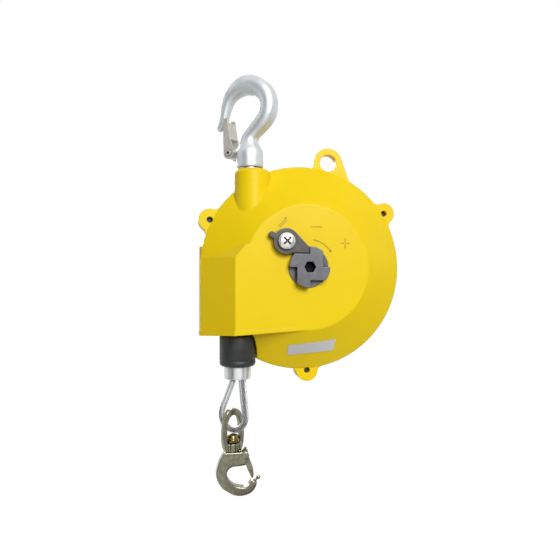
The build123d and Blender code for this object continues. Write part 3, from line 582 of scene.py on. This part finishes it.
def faced(place: Vector, turn_deg: float) -> Matrix:
    """Move that makes a shape about Z face the front.

    Args:
        place: where its origin goes, in the frame's metres.
        turn_deg: its turn about its own axis, in degrees.

    Returns:
        The matrix of the move.
    """
    turn = Matrix.Rotation(math.radians(90), 4, "X") @ Matrix.Rotation(math.radians(turn_deg), 4, "Z")
    return Matrix.Translation(place) @ turn


def joined(shapes: list[Shape]) -> Shape:
    """One bmesh of several, which are freed."""
    whole = bmesh.new()
    for shape in shapes:
        mesh = bpy.data.meshes.new("part")
        shape.to_mesh(mesh)
        shape.free()
        whole.from_mesh(mesh)
        bpy.data.meshes.remove(mesh)
    return whole


@dataclass
class Camera:
    """Camera at the photograph's place, in millimetres from the saddle."""

    place_mm: Point3 = (-68.95, -561.5, -180.0)
    turn_deg: float = 10.0
    focal_mm: float = 37.1
    sensor_mm: float = 36.0
    nearest_mm: float = 10.0

    def set_up(self) -> None:
        """Makes the camera the scene's own."""
        data = bpy.data.cameras.new("camera")
        data.lens = self.focal_mm
        data.sensor_width = self.sensor_mm
        data.clip_start = self.nearest_mm * MM
        camera = added("camera", data)
        camera.location = Vector(self.place_mm) * MM
        camera.rotation_euler = (math.radians(90), 0, -math.radians(self.turn_deg))
        bpy.context.scene.camera = camera


class Light(Enum):
    """Soft lamps: where each stands, in metres from the saddle, and its power in watts."""

    KEY = ((0.377, -1.944, 0.808), 43.5)
    BACK = ((-0.50, 1.90, 0.60), 30.0)


class Card(Enum):
    """Dark cards round the balancer: where each stands, its width and its height, in metres."""

    LEFT = ((-0.62, -0.50, -0.10), 0.50, 1.10)
    RIGHT = ((0.60, -0.62, -0.25), 0.30, 1.10)
    LOW = ((0.16, -0.62, -0.74), 0.26, 0.26)
    FOOT = ((0.0, -0.10, -0.95), 0.90, 0.40)
    LEFT_LOW = ((-0.60, -0.06, -0.52), 0.22, 0.60)
    RIGHT_LOW = ((0.55, -0.04, -0.52), 0.22, 0.60)


@dataclass
class Studio:
    """White floor, white surroundings, soft lamps and dark cards for the metals to reflect."""

    floor_z: float = -1.80
    floor_size: float = 80.0
    floor_white: float = 0.92
    floor_glow: float = 1.05
    glow_share: float = 0.96
    sky: float = 0.16
    lamp_size: float = 1.1
    lamp_aim: Point3 = (-20.0, 0.0, 20.0)
    card_aim: Point3 = (-20.0, 0.0, -40.0)
    card_black: float = 0.03
    matt: float = 0.9

    def build(self) -> None:
        """Sets up the surroundings, the floor, the lamps and the cards."""
        bpy.context.scene.view_settings.view_transform = "Standard"
        self.surroundings()
        self.floor()
        for light in Light:
            self.lamp(light.name.lower(), *light.value)
        for card in Card:
            self.card(f"{card.name.lower()}_card", *card.value)

    def surroundings(self) -> None:
        """World that the camera and reflections see as white."""
        world = bpy.data.worlds.new("surroundings")
        bpy.context.scene.world = world
        world.use_nodes = True
        world.node_tree.nodes.clear()
        graph = Graph(world.node_tree)
        path = graph.add("ShaderNodeLightPath", {}, {}).outputs
        shown = graph.math("MAXIMUM", path["Is Camera Ray"], path["Is Transmission Ray"])
        seen = graph.math("MAXIMUM", shown, path["Is Glossy Ray"])
        strength = graph.spread(seen, (0.0, 1.0), (self.sky, 1.0))
        light = graph.add("ShaderNodeBackground", {}, {"Color": colour(1, 1, 1), "Strength": strength})
        graph.add("ShaderNodeOutputWorld", {}, {"Surface": light.outputs[0]})

    def floor(self) -> None:
        """White floor that keeps the balancer's shadow."""
        shape = bmesh.new()
        bmesh.ops.create_grid(shape, x_segments=8, y_segments=8, size=self.floor_size / 2)
        bmesh.ops.translate(shape, vec=(0, 0, self.floor_z), verts=shape.verts)
        floor = placed("floor", shape)
        recipe = self.matt_grey("floor_white", self.floor_white)
        path = recipe.add("ShaderNodeLightPath", {}, {})
        seen = recipe.math("MAXIMUM", path.outputs["Is Camera Ray"], path.outputs["Is Glossy Ray"])
        glow = recipe.add("ShaderNodeEmission", {}, {"Color": colour(1, 1, 1), "Strength": self.floor_glow})
        share = recipe.math("MULTIPLY", seen, self.glow_share)
        layers = {0: share, 1: recipe.shader.outputs[0], 2: glow.outputs[0]}
        mixed = recipe.add("ShaderNodeMixShader", {}, layers)
        recipe.tree.links.new(mixed.outputs[0], recipe.tree.nodes["Material Output"].inputs["Surface"])
        floor.data.materials.append(recipe.material)

    def matt_grey(self, name: str, tone: float) -> Recipe:
        """Plain matt grey of the given tone."""
        recipe = Recipe(name)
        recipe.shader.inputs["Base Color"].default_value = colour(tone, tone, tone)
        recipe.shader.inputs["Roughness"].default_value = self.matt
        return recipe

    def card(self, name: str, place: Point3, width: float, height: float) -> None:
        """Dark card that only reflections see.

        Args:
            name: name of the card.
            place: its middle, in metres.
            width: its width.
            height: its height.
        """
        shape = bmesh.new()
        bmesh.ops.create_grid(shape, x_segments=1, y_segments=1, size=0.5)
        bmesh.ops.scale(shape, vec=(width, height, 1.0), verts=shape.verts)
        turn = (at(*self.card_aim) - Vector(place)).to_track_quat("Z", "Y").to_matrix().to_4x4()
        bmesh.ops.transform(shape, matrix=Matrix.Translation(Vector(place)) @ turn, verts=shape.verts)
        card = placed(name, shape)
        card.data.materials.append(self.matt_grey(name, self.card_black).material)
        card.visible_camera = False
        card.visible_diffuse = False
        card.visible_shadow = False
        card.visible_transmission = False

    def lamp(self, name: str, place: Point3, power: float) -> None:
        """Soft square lamp aimed at the casing.

        Args:
            name: name of the lamp.
            place: its middle, in metres.
            power: its power in watts.
        """
        data = bpy.data.lights.new(name, "AREA")
        data.energy = power
        data.size = self.lamp_size
        lamp = added(name, data)
        lamp.location = place
        lamp.rotation_euler = (at(*self.lamp_aim) - Vector(place)).to_track_quat("-Z", "Y").to_euler()


class Mark(Enum):
    """Moulded signs on the casing's face."""

    LESS = "less_mark"
    MORE = "more_mark"
    TURN = "turn_arrow"
    LATCH = "latch_arrow"


@dataclass
class Casing:
    """The two castings with their moulded signs and the bare plate under the box."""

    line_w: float = 0.55
    line_h: float = 0.30
    line_round: float = 0.08
    turn_r: float = 26.4
    turn_from: float = 79.5
    turn_to: float = 33.0
    turn_steps: int = 24
    plate: tuple[Point2, ...] = ((-16.9, -74.7), (30.3, -69.4), (28.8, -81.0), (-16.9, -84.8))
    plate_t: float = 0.35
    plate_proud: float = 0.02
    cheek: tuple[Point2, ...] = ((-69.0, -30.02), (-99.6, 0.3), (-99.9, 8.5))
    cheek_top: Point2 = (8.9, 9.4)
    cheek_foot: float = -57.2
    band: tuple[Point2, ...] = ((-69.9, -30.95), (-100.6, -0.6), (-100.9, 8.5))
    band_top: Point2 = (-59.0, -60.2)
    band_foot: float = -59.45
    foot_slope: float = 0.0623
    skin_root: float = 8.0
    skin_inset: float = 0.4

    def build(self) -> None:
        """Dresses the castings and adds what stands on them."""
        # the casing screws take the dark spring-steel finish of their slot: their ends in the lug holes are
        # painted shade
        SHOP.dress_nodes("front_casing", "rear_casing", "casing_screw_1", "casing_screw_2", "casing_screw_3")
        SHOP.dress_nodes("front_bush", "rear_bush", "rope_guide", "neck_washer")
        self.box_cheek()
        self.signs()
        self.plate_on_cone()

    def box_cheek(self) -> None:
        """Outer skin of the rope box's slanted side, a little proud of the cone, and its foot band."""
        self.skin("box_cheek", self.cheek, self.cheek_foot, self.cheek_top)
        self.skin("box_cheek_band", self.band, self.band_foot, self.band_top)

    def skin(self, name: str, plan: tuple[Point2, ...], foot: float, tops: Point2) -> None:
        """Upright plate on the box's slanted side.

        Args:
            name: name of the piece.
            plan: X and Y of its front edge, side edge and back edge.
            foot: height of its foot at the drum's axis; the foot falls to the left.
            tops: height of its top at the front edge and at the side.
        """
        shape = bmesh.new()
        heights = (tops[0], tops[1], tops[1], tops[0])
        inner = (plan[0][0] + self.skin_inset, plan[0][1] + self.skin_root)
        columns = []
        for (x, y), top in zip((*plan, inner), heights):
            low = shape.verts.new(at(x, y, foot + self.foot_slope * x))
            columns.append((low, shape.verts.new(at(x, y, top))))
        for first, second in zip(columns, columns[1:] + columns[:1]):
            shape.faces.new((first[0], second[0], second[1], first[1]))
        shape.faces.new([low for low, _ in columns])
        shape.faces.new([high for _, high in reversed(columns)])
        bmesh.ops.recalc_face_normals(shape, faces=shape.faces)
        carried(piece_from(name, shape, Finishes.YELLOW_PAINT), "housing", "casing_yellow")

    def bar(self, start: Point2, end: Point2) -> Shape:
        """Straight ridge on the face between two points in X and Z."""
        run = math.hypot(end[0] - start[0], end[1] - start[1])
        half = self.line_w / 2
        low, high = (-run / 2, -self.line_h, -half), (run / 2, self.line_h / 2, half)
        shape = block_shape(low, high, self.line_round)
        turn = math.atan2(end[1] - start[1], end[0] - start[0])
        bmesh.ops.rotate(shape, cent=(0, 0, 0), matrix=Matrix.Rotation(-turn, 3, "Y"), verts=shape.verts)
        middle = at((start[0] + end[0]) / 2, FACE_Y, (start[1] + end[1]) / 2)
        bmesh.ops.translate(shape, vec=middle, verts=shape.verts)
        return shape

    def arc(self) -> Shape:
        """Curved ridge round the drum's axis, carried round from one rectangle."""
        near, far = (self.turn_r - self.line_w / 2) * MM, (self.turn_r + self.line_w / 2) * MM
        top, root = -self.line_h * MM, self.line_h / 2 * MM
        shape = bmesh.new()
        ring = [shape.verts.new((x, y, 0)) for x, y in ((near, top), (near, root), (far, root), (far, top))]
        for first, second in zip(ring, ring[1:] + ring[:1]):
            shape.edges.new((first, second))
        tip = Matrix.Rotation(-math.radians(self.turn_to), 3, "Y")
        bmesh.ops.rotate(shape, cent=(0, 0, 0), matrix=tip, verts=shape.verts)
        bmesh.ops.spin(
            shape, geom=shape.verts[:] + shape.edges[:], cent=(0, 0, 0), axis=(0, 1, 0), dvec=(0, 0, 0),
            angle=-math.radians(self.turn_from - self.turn_to), steps=self.turn_steps, use_merge=False,
            use_duplicate=False,
        )
        bmesh.ops.holes_fill(shape, edges=[e for e in shape.edges if e.is_boundary], sides=4)
        bmesh.ops.recalc_face_normals(shape, faces=shape.faces)
        bmesh.ops.translate(shape, vec=at(0, FACE_Y, 0), verts=shape.verts)
        return shape

    def signs(self) -> None:
        """Less and more signs, the curved arrow between them and the pawl's arrow."""
        tip = math.radians(self.turn_to)
        head = (self.turn_r * math.cos(tip), self.turn_r * math.sin(tip))
        shapes = {
            Mark.LESS: [self.bar((2.2, 38.1), (13.1, 38.2))],
            Mark.MORE: [self.bar((31.4, 23.1), (35.0, 23.1)), self.bar((36.6, 23.1), (40.2, 23.1)),
                        self.bar((35.8, 24.0), (35.8, 28.1)), self.bar((35.8, 22.2), (35.8, 18.1))],
            Mark.TURN: [self.arc(), self.bar(head, (head[0] - 2.2, head[1] + 1.0)),
                        self.bar(head, (head[0] - 0.2, head[1] + 2.6))],
            Mark.LATCH: [self.bar((-28.6, 38.6), (-22.6, 44.6)), self.bar((-27.2, 37.4), (-21.4, 43.4)),
                         self.bar((-22.9, 46.2), (-20.7, 44.0)), self.bar((-22.6, 46.2), (-20.6, 46.6))],
        }
        for mark, parts in shapes.items():
            # the ridges are coloured brown as painted shade
            piece = piece_from(mark.value, joined(parts), Finishes.MARK_LINE)
            carried(piece, "housing", "casing_yellow")

    def plate_on_cone(self) -> None:
        """Bare silver plate that follows the casing's cone."""
        shape = bmesh.new()
        bmesh.ops.create_grid(shape, x_segments=16, y_segments=5, size=0.5)
        left_top, right_top, right_low, left_low = [Vector((x, 0, z)) for x, z in self.plate]
        for corner in shape.verts:
            across, up = corner.co.x + 0.5, corner.co.y + 0.5
            point = left_low.lerp(right_low, across).lerp(left_top.lerp(right_top, across), up)
            radius = math.hypot(point.x, point.z)
            depth = FACE_Y + (radius - CONE_R[0]) * CONE_DEPTH / (CONE_R[1] - CONE_R[0])
            corner.co = at(point.x, depth - self.plate_proud, point.z)
        bmesh.ops.recalc_face_normals(shape, faces=shape.faces)
        if sum(face.normal.y for face in shape.faces) > 0:
            bmesh.ops.reverse_faces(shape, faces=shape.faces)
        bmesh.ops.solidify(shape, geom=shape.faces[:], thickness=-self.plate_t * MM)
        bmesh.ops.recalc_face_normals(shape, faces=shape.faces)
        piece = piece_from("bare_plate", shape, Finishes.BARE_PLATE)
        carried(piece, "housing", "bare_aluminium")


@dataclass
class Ratchet:
    """Ratchet wheel, pawl and the pawl's screw with its cross recess."""

    screw_x: float = -22.2
    screw_z: float = 24.0
    head_r: float = 8.0
    head_h: float = 4.6
    dome_share: float = 0.5
    dome_steps: int = 8
    head_steps: int = 48
    dome_power: float = 0.8
    shoulder_r: float = 5.0
    shoulder_l: float = 5.1
    seat_y: float = -37.0
    recess_r: float = 4.7
    recess_w: float = 2.1
    recess_turn: float = 44.0
    recess_depth: float = 2.6
    recess_over: float = 1.0
    recess_round: float = 0.2
    sharp_deg: float = 30.0
    socket_r: float = 5.62
    socket_wall: float = 0.12
    socket_depth: float = 6.4
    socket_y: float = -37.3
    socket_turn: float = 30.0

    def build(self) -> None:
        """Dresses the wheel and pawl, and builds the screw."""
        SHOP.dress_nodes("main_shaft", "ratchet_wheel", "retaining_ring", "pawl", "pawl_spring")
        self.screw()
        self.paint_socket_shade()

    def paint_socket_shade(self) -> None:
        """Near-black cup inside the wheel's hex socket: painted shade."""
        shape = bmesh.new()
        bmesh.ops.create_cone(
            shape, cap_ends=True, segments=6, radius1=self.socket_r * MM, radius2=self.socket_r * MM,
            depth=self.socket_depth * MM,
        )
        lid = [face for face in shape.faces if face.normal.z > 0.9]
        bmesh.ops.delete(shape, geom=lid, context="FACES_ONLY")
        bmesh.ops.solidify(shape, geom=shape.faces[:], thickness=self.socket_wall * MM)
        middle = at(0, self.socket_y + self.socket_depth / 2, 0)
        bmesh.ops.transform(shape, matrix=faced(middle, self.socket_turn), verts=shape.verts)
        carried(piece_from("socket_painted_shade", shape, Finishes.PAINTED_HOLLOW_SHADE), "adjuster", "dark_steel")

    def screw(self) -> None:
        """Pan head screw: a turned head and shoulder with a cross cut into the head."""
        profile = [(0.0, 0.0)]
        for step in range(1, self.dome_steps + 1):
            angle = math.pi / 2 * step / self.dome_steps
            radius = self.head_r * math.sin(angle) ** self.dome_power
            profile.append((radius, -self.head_h * self.dome_share * (1 - math.cos(angle))))
        under, foot = -self.head_h, -self.head_h - self.shoulder_l
        profile += [(self.head_r, under), (self.shoulder_r, under), (self.shoulder_r, foot), (0.0, foot)]
        piece = piece_from("cross_screw", turned_shape(profile, self.head_steps), Finishes.ZINC)
        reach, half = self.recess_r, self.recess_w / 2
        cuts = [
            block_shape((-x, -y, -self.recess_depth), (x, y, self.recess_over), self.recess_round)
            for x, y in ((reach, half), (half, reach))
        ]
        for number, cut in enumerate(cuts):
            cutter = piece_from(f"cutter_{number}", cut, Finishes.PAWL_STEEL)
            recess = piece.modifiers.new("recess", "BOOLEAN")
            recess.operation = "DIFFERENCE"
            recess.solver = "EXACT"
            recess.material_mode = "TRANSFER"
            recess.object = cutter
            settle(piece)
            bpy.data.objects.remove(cutter)
        top = at(self.screw_x, self.seat_y - self.head_h, self.screw_z)
        piece.data.transform(faced(top, self.recess_turn))
        shaded(piece, self.sharp_deg)
        carried(piece, "housing", "zinc_steel", "pawl_screw")


@dataclass
class WireRope:
    """Six strands laid round a core, along a smooth line."""

    strands: int = 6
    lay_mm: float = 30.0
    strand_r: float = 0.833
    core_r: float = 0.9
    step_mm: float = 1.0
    sides: int = 8

    def line(self, name: str, points: list[Vector]) -> list[Vector]:
        """Points along the smooth spline through the route.

        Args:
            name: name of the route's curve.
            points: the route's control points, in the frame's metres.

        Returns:
            Points evenly spaced along the spline.
        """
        data = bpy.data.curves.new(name, "CURVE")
        data.dimensions = "3D"
        spline = data.splines.new("NURBS")
        spline.points.add(len(points) - 1)
        for place, point in zip(spline.points, points):
            place.co = (*point, 1.0)
        spline.order_u = 3
        spline.use_endpoint_u = True
        spline.resolution_u = 16
        curve = added(name, data)
        mesh = finished(curve)
        run = [v.co.copy() for v in mesh.vertices]
        bpy.data.objects.remove(curve)
        bpy.data.meshes.remove(mesh)
        even = [run[0]]
        rest = 0.0
        for first, second in zip(run, run[1:]):
            span = (second - first).length
            while rest + span >= self.step_mm * MM:
                share = (self.step_mm * MM - rest) / span
                first = first.lerp(second, share)
                even.append(first)
                span = (second - first).length
                rest = 0.0
            rest += span
        return even

    @staticmethod
    def heading(run: list[Vector], number: int) -> Vector:
        """Direction of a run at one of its points."""
        return (run[min(number + 1, len(run) - 1)] - run[max(number - 1, 0)]).normalized()

    def tube(self, run: list[Vector], radii_mm: list[float], sides: int) -> Shape:
        """Closed tube along the given points.

        Args:
            run: the points, in the frame's metres.
            radii_mm: the tube's radius at each point.
            sides: number of facets round the tube.

        Returns:
            The closed shape.
        """
        shape = bmesh.new()
        rings = []
        upward = Vector((0.3, 1.0, 0.2))  # any direction that no rope here runs along
        for number, (point, radius) in enumerate(zip(run, radii_mm)):
            ahead = self.heading(run, number)
            side = upward.cross(ahead).normalized()
            upward = ahead.cross(side)
            turn = Matrix((side, upward, ahead)).transposed().to_4x4()
            made = bmesh.ops.create_circle(
                shape, segments=sides, radius=radius * MM, matrix=Matrix.Translation(point) @ turn
            )
            rings.append(made["verts"])
        for first, second in zip(rings, rings[1:]):
            for n in range(sides):
                beside = (n + 1) % sides
                shape.faces.new((first[n], first[beside], second[beside], second[n]))
        bmesh.ops.holes_fill(shape, edges=[e for e in shape.edges if e.is_boundary], sides=sides)
        bmesh.ops.recalc_face_normals(shape, faces=shape.faces)
        return shape

    def lay(self, name: str, points: list[Vector], across: Vector) -> Piece:
        """Rope along a route.

        Args:
            name: name of the piece.
            points: the route's control points.
            across: direction that is never along the rope.

        Returns:
            The rope as one piece.
        """
        run = self.line(name, points)
        shapes = [self.tube(run, [self.core_r] * len(run), self.sides)]
        for strand in range(self.strands):
            path = []
            for number, point in enumerate(run):
                ahead = self.heading(run, number)
                side = across.cross(ahead).normalized()
                up = ahead.cross(side)
                turn = 2 * math.pi * (strand / self.strands + number * self.step_mm / self.lay_mm)
                path.append(point + (side * math.cos(turn) + up * math.sin(turn)) * (2 * self.strand_r * MM))
            shapes.append(self.tube(path, [self.strand_r] * len(path), self.sides))
        return piece_from(name, joined(shapes), Finishes.ROPE_WIRE, ROPE_SHARP)


@dataclass
class LoadEnd:
    """Rope, rubber bumper, ferrule, rope loop with thimble, swivel eye and snap hook."""

    bumper_r: float = 17.5
    bumper_top: float = -65.39
    bumper_low: float = -95.69
    ferrule_low: float = -107.89
    loop_r: float = 14.4
    loop_z: float = -143.787
    loop_turn: float = 38.0
    loop_shift: float = 1.0
    loop_corners: int = 8
    legs: Point2 = (1.5, 10.7)
    leg_inside: float = 5.0
    swivel_x: float = -68.8
    rope_top: float = -0.5
    rope_inside: float = 3.0
    rope_spans: int = 6
    liner_bend: Point2 = (1.7, 1.9)
    liner_left: Point2 = (0.7, 3.1)
    liner_right: Point2 = (3.3, 1.9)
    liner_rise: float = 14.0
    liner_gap: float = 0.6
    liner_sides: int = 12
    bumper_steps: int = 72
    rivet_steps: int = 48
    castings: tuple[tuple[str, str, float, int], ...] = (
        ("cast_hook", "snap_hook_body", 0.42, 20),
        ("cast_gate", "gate", 0.30, 9),
        ("cast_eye", "swivel_eye", 0.38, 16),
    )
    rivet_low: float = -188.8
    rivet_head: float = -170.05

    def build(self) -> None:
        """Builds the rope and its loop, and dresses the rest."""
        SHOP.dress_nodes("ferrule", "drum", "spring_case_cover", "front_bearing", "rear_bearing")
        SHOP.dress_nodes("power_spring", "rope_wraps", "gate_rivet")
        rope = WireRope()
        self.rivet()
        self.stretch(rope)
        self.loop(rope)
        self.bumper()
        for name, node, voxel_mm, rounds in self.castings:
            softened(name, node, voxel_mm, rounds, Finishes.NICKEL)

    def stretch(self, rope: WireRope) -> None:
        """Straight rope between the drum and the ferrule, built at its resting length; the real rope
        lengthens as the load goes down.
        """
        top, low = at(ROPE_X, 0, self.rope_top), at(ROPE_X, 0, self.bumper_low - self.rope_inside)
        route = [top.lerp(low, n / self.rope_spans) for n in range(self.rope_spans + 1)]
        piece = rope.lay("rope_run", route, Vector((1, 0, 0)))
        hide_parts("rope_stretch")
        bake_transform(piece)

    @staticmethod
    def turned_about(x: float, outline: list[Point2], steps: int) -> Shape:
        """Solid of revolution about an upright axis.

        Args:
            x: X of the axis, from the drum's.
            outline: (radius, height over the drum's axis) points.
            steps: number of facets round the axis.

        Returns:
            The closed shape.
        """
        shape = turned_shape([(radius, height - SADDLE_OVER_DRUM) for radius, height in outline], steps)
        bmesh.ops.translate(shape, vec=((x + SWIVEL_FROM_DRUM) * MM, 0, 0), verts=shape.verts)
        return shape

    def rivet(self) -> None:
        """Swivel rivet: a barrel head that fills the eye's hole, and a collar under its cap."""
        low, head = self.rivet_low, self.rivet_head
        outside = [
            (0.0, low), (3.35, low), (3.35, head), (5.2, head), (6.2, head + 0.5), (6.75, head + 1.6),
            (6.75, head + 3.4), (6.2, head + 4.3), (5.3, head + 4.8), (5.3, head + 5.5), (5.0, head + 6.6),
            (4.0, head + 7.9), (2.2, head + 8.5), (0.0, head + 8.7),
        ]
        shape = self.turned_about(self.swivel_x, outside, self.rivet_steps)
        piece = piece_from("headed_rivet", shape, Finishes.OILED_NICKEL, TURNED_SHARP)
        carried(piece, BODY_OF["swivel_rivet"], SLOT_OF["swivel_rivet"], "swivel_rivet")

    def in_loop(self, across: float, height: float) -> Vector:
        """Point in the loop's plane."""
        turn = math.radians(-self.loop_turn)
        reach = across + self.loop_shift
        return at(self.swivel_x + reach * math.cos(turn), reach * math.sin(turn), height)

    def loop(self, rope: WireRope) -> None:
        """Rope loop: two legs and a bend, laid along a spline."""
        rise = self.ferrule_low - self.loop_z
        ends = []
        for leg, side in zip(self.legs, (1, -1)):
            reach = math.hypot(leg, rise)
            ends.append(math.atan2(rise, leg) + side * math.acos(self.loop_r / reach))
        start, end = ends[0], ends[1] + 2 * math.pi
        step = (end - start) / self.loop_corners
        far = self.loop_r / math.cos(step / 2)
        points = []
        for n in range(self.loop_corners):
            angle = start + step * (n + 0.5)
            points.append(self.in_loop(far * math.cos(angle), self.loop_z + far * math.sin(angle)))
        first, last = [self.in_loop(leg, self.ferrule_low + self.leg_inside) for leg in self.legs]
        middle_first, middle_last = first.lerp(points[0], 0.5), last.lerp(points[-1], 0.5)
        normal = (self.in_loop(1, 0) - self.in_loop(0, 0)).cross(Vector((0, 0, 1)))
        route = [first, middle_first, *points, middle_last, last]
        piece = rope.lay("loop_strands", route, normal)
        carried(piece, "load", "wire_rope", "rope_loop")
        top = at(0, 0, self.ferrule_low - self.liner_gap).z
        self.liner(rope, [point for point in rope.line("liner_line", route) if point.z < top])

    def liner(self, rope: WireRope, run: list[Vector]) -> None:
        """Thimble: a bright strip on the inside of the loop, wide on the left leg and narrow in the bend."""
        middle = self.in_loop(0, self.loop_z)
        path, radii = [], []
        for number, point in enumerate(run):
            ahead = rope.heading(run, number)
            climb = max(0.0, point.z - middle.z)
            inward = middle + Vector((0, 0, climb)) - point
            inward = (inward - ahead * inward.dot(ahead)).normalized()
            rise = min(1.0, climb / (self.liner_rise * MM))
            leg = self.liner_left if number < len(run) / 2 else self.liner_right
            offset, radius = [bend + rise * (end - bend) for bend, end in zip(self.liner_bend, leg)]
            path.append(point + inward * offset * MM)
            radii.append(radius)
        shape = rope.tube(path, radii, self.liner_sides)
        piece = piece_from("formed_thimble", shape, Finishes.ALUMINIUM, ROPE_SHARP)
        carried(piece, "load", "zinc_steel", "thimble")

    def bumper(self) -> None:
        """Rubber stop with a rolled foot and a groove over it."""
        r, top, low = self.bumper_r, self.bumper_top, self.bumper_low
        outside = [
            (3.0, low), (r - 3.4, low), (r - 2.0, low + 0.35), (r - 0.9, low + 1.1), (r - 0.25, low + 2.3),
            (r, low + 3.8), (r, low + 5.6), (r - 0.45, low + 6.0), (r, low + 6.5), (r, top - 1.8),
            (r - 0.3, top - 0.8), (r - 1.0, top - 0.15), (r - 1.8, top), (3.0, top),
        ]
        shape = self.turned_about(ROPE_X, outside, self.bumper_steps)
        piece = piece_from("rubber_stop", shape, Finishes.RUBBER, TURNED_SHARP)
        carried(piece, "load", "black_rubber", "rubber_bumper")


@dataclass
class TopHook:
    """Forged top hook with its latch."""

    voxel_mm: float = 0.75
    rounds: int = 10
    shoulder: Point2 = (109.0, 128.0)
    shoulder_rounds: int = 40
    turn_deg: float = 38.0
    rivet_x: float = -19.7
    rivet_z: float = 112.8
    rivet_half: float = 9.0
    rivet_r: float = 2.0
    lip_r: float = 2.9
    lip_t: float = 1.0
    lip_round: float = 0.3
    bore_r: float = 1.45
    bore_gap: float = 0.01
    bore_inset: float = 0.5
    rivet_steps: int = 32

    def build(self) -> None:
        """Builds the forging and dresses the latch."""
        SHOP.dress_nodes("hook_nut", "latch_spring", "top_latch")
        hook = softened("forged_hook", "top_hook", self.voxel_mm, self.rounds, Finishes.FORGED_STEEL)
        self.ease_shoulder(hook)
        self.rivet()

    def ease_shoulder(self, hook: Piece) -> None:
        """Rounds the forging where its shank runs into the hook."""
        shape = bmesh.new()
        shape.from_mesh(hook.data)
        low, high = [at(0, 0, height).z for height in self.shoulder]
        band = [corner for corner in shape.verts if low < corner.co.z < high]
        for _ in range(self.shoulder_rounds):
            bmesh.ops.smooth_vert(
                shape, verts=band, factor=EASE_SHARE, use_axis_x=True, use_axis_y=True, use_axis_z=True
            )
        shape.to_mesh(hook.data)
        shape.free()

    def rivet(self) -> None:
        """Hollow rivet through the latch's cheeks, with a near-black plug in its hole that paints the shade
        inside it.
        """
        end, lip_end = self.rivet_half, self.rivet_half - self.lip_t
        upper = [
            (self.rivet_r, lip_end), (self.lip_r, lip_end), (self.lip_r, end - self.lip_round),
            (self.lip_r - self.lip_round, end), (self.bore_r, end),
        ]
        ring = [(radius, -height) for radius, height in reversed(upper)] + upper
        bore_r, bore_end = self.bore_r - self.bore_gap, end - self.bore_inset
        # near-black plug inside the rivet: painted shade in its hole
        shade_plug = [(0.0, -bore_end), (bore_r, -bore_end), (bore_r, bore_end), (0.0, bore_end)]
        turn = Matrix.Rotation(math.radians(-self.turn_deg), 4, "Z")
        move = turn @ faced(Vector((self.rivet_x * MM, 0, at(0, 0, self.rivet_z).z)), 0.0)
        for name, outline, finish, nodes in (
            ("hollow_rivet", ring, Finishes.LATCH_STEEL, ["latch_rivet"]),
            ("rivet_bore_shade", shade_plug, Finishes.PAINTED_HOLLOW_SHADE, []),
        ):
            shape = turned_shape(outline, self.rivet_steps)
            bmesh.ops.transform(shape, matrix=move, verts=shape.verts)
            carried(piece_from(name, shape, finish), BODY_OF["latch_rivet"], SLOT_OF["latch_rivet"], *nodes)


def main() -> None:
    """Builds the scene in order: camera, studio, then each sub-assembly."""
    logging.basicConfig(level=logging.INFO)
    Camera().set_up()
    Studio().build()
    for assembly in (Casing(), Ratchet(), LoadEnd(), TopHook()):
        LOG.info("building %s", type(assembly).__name__)
        assembly.build()


if __name__ == "__main__":
    main()
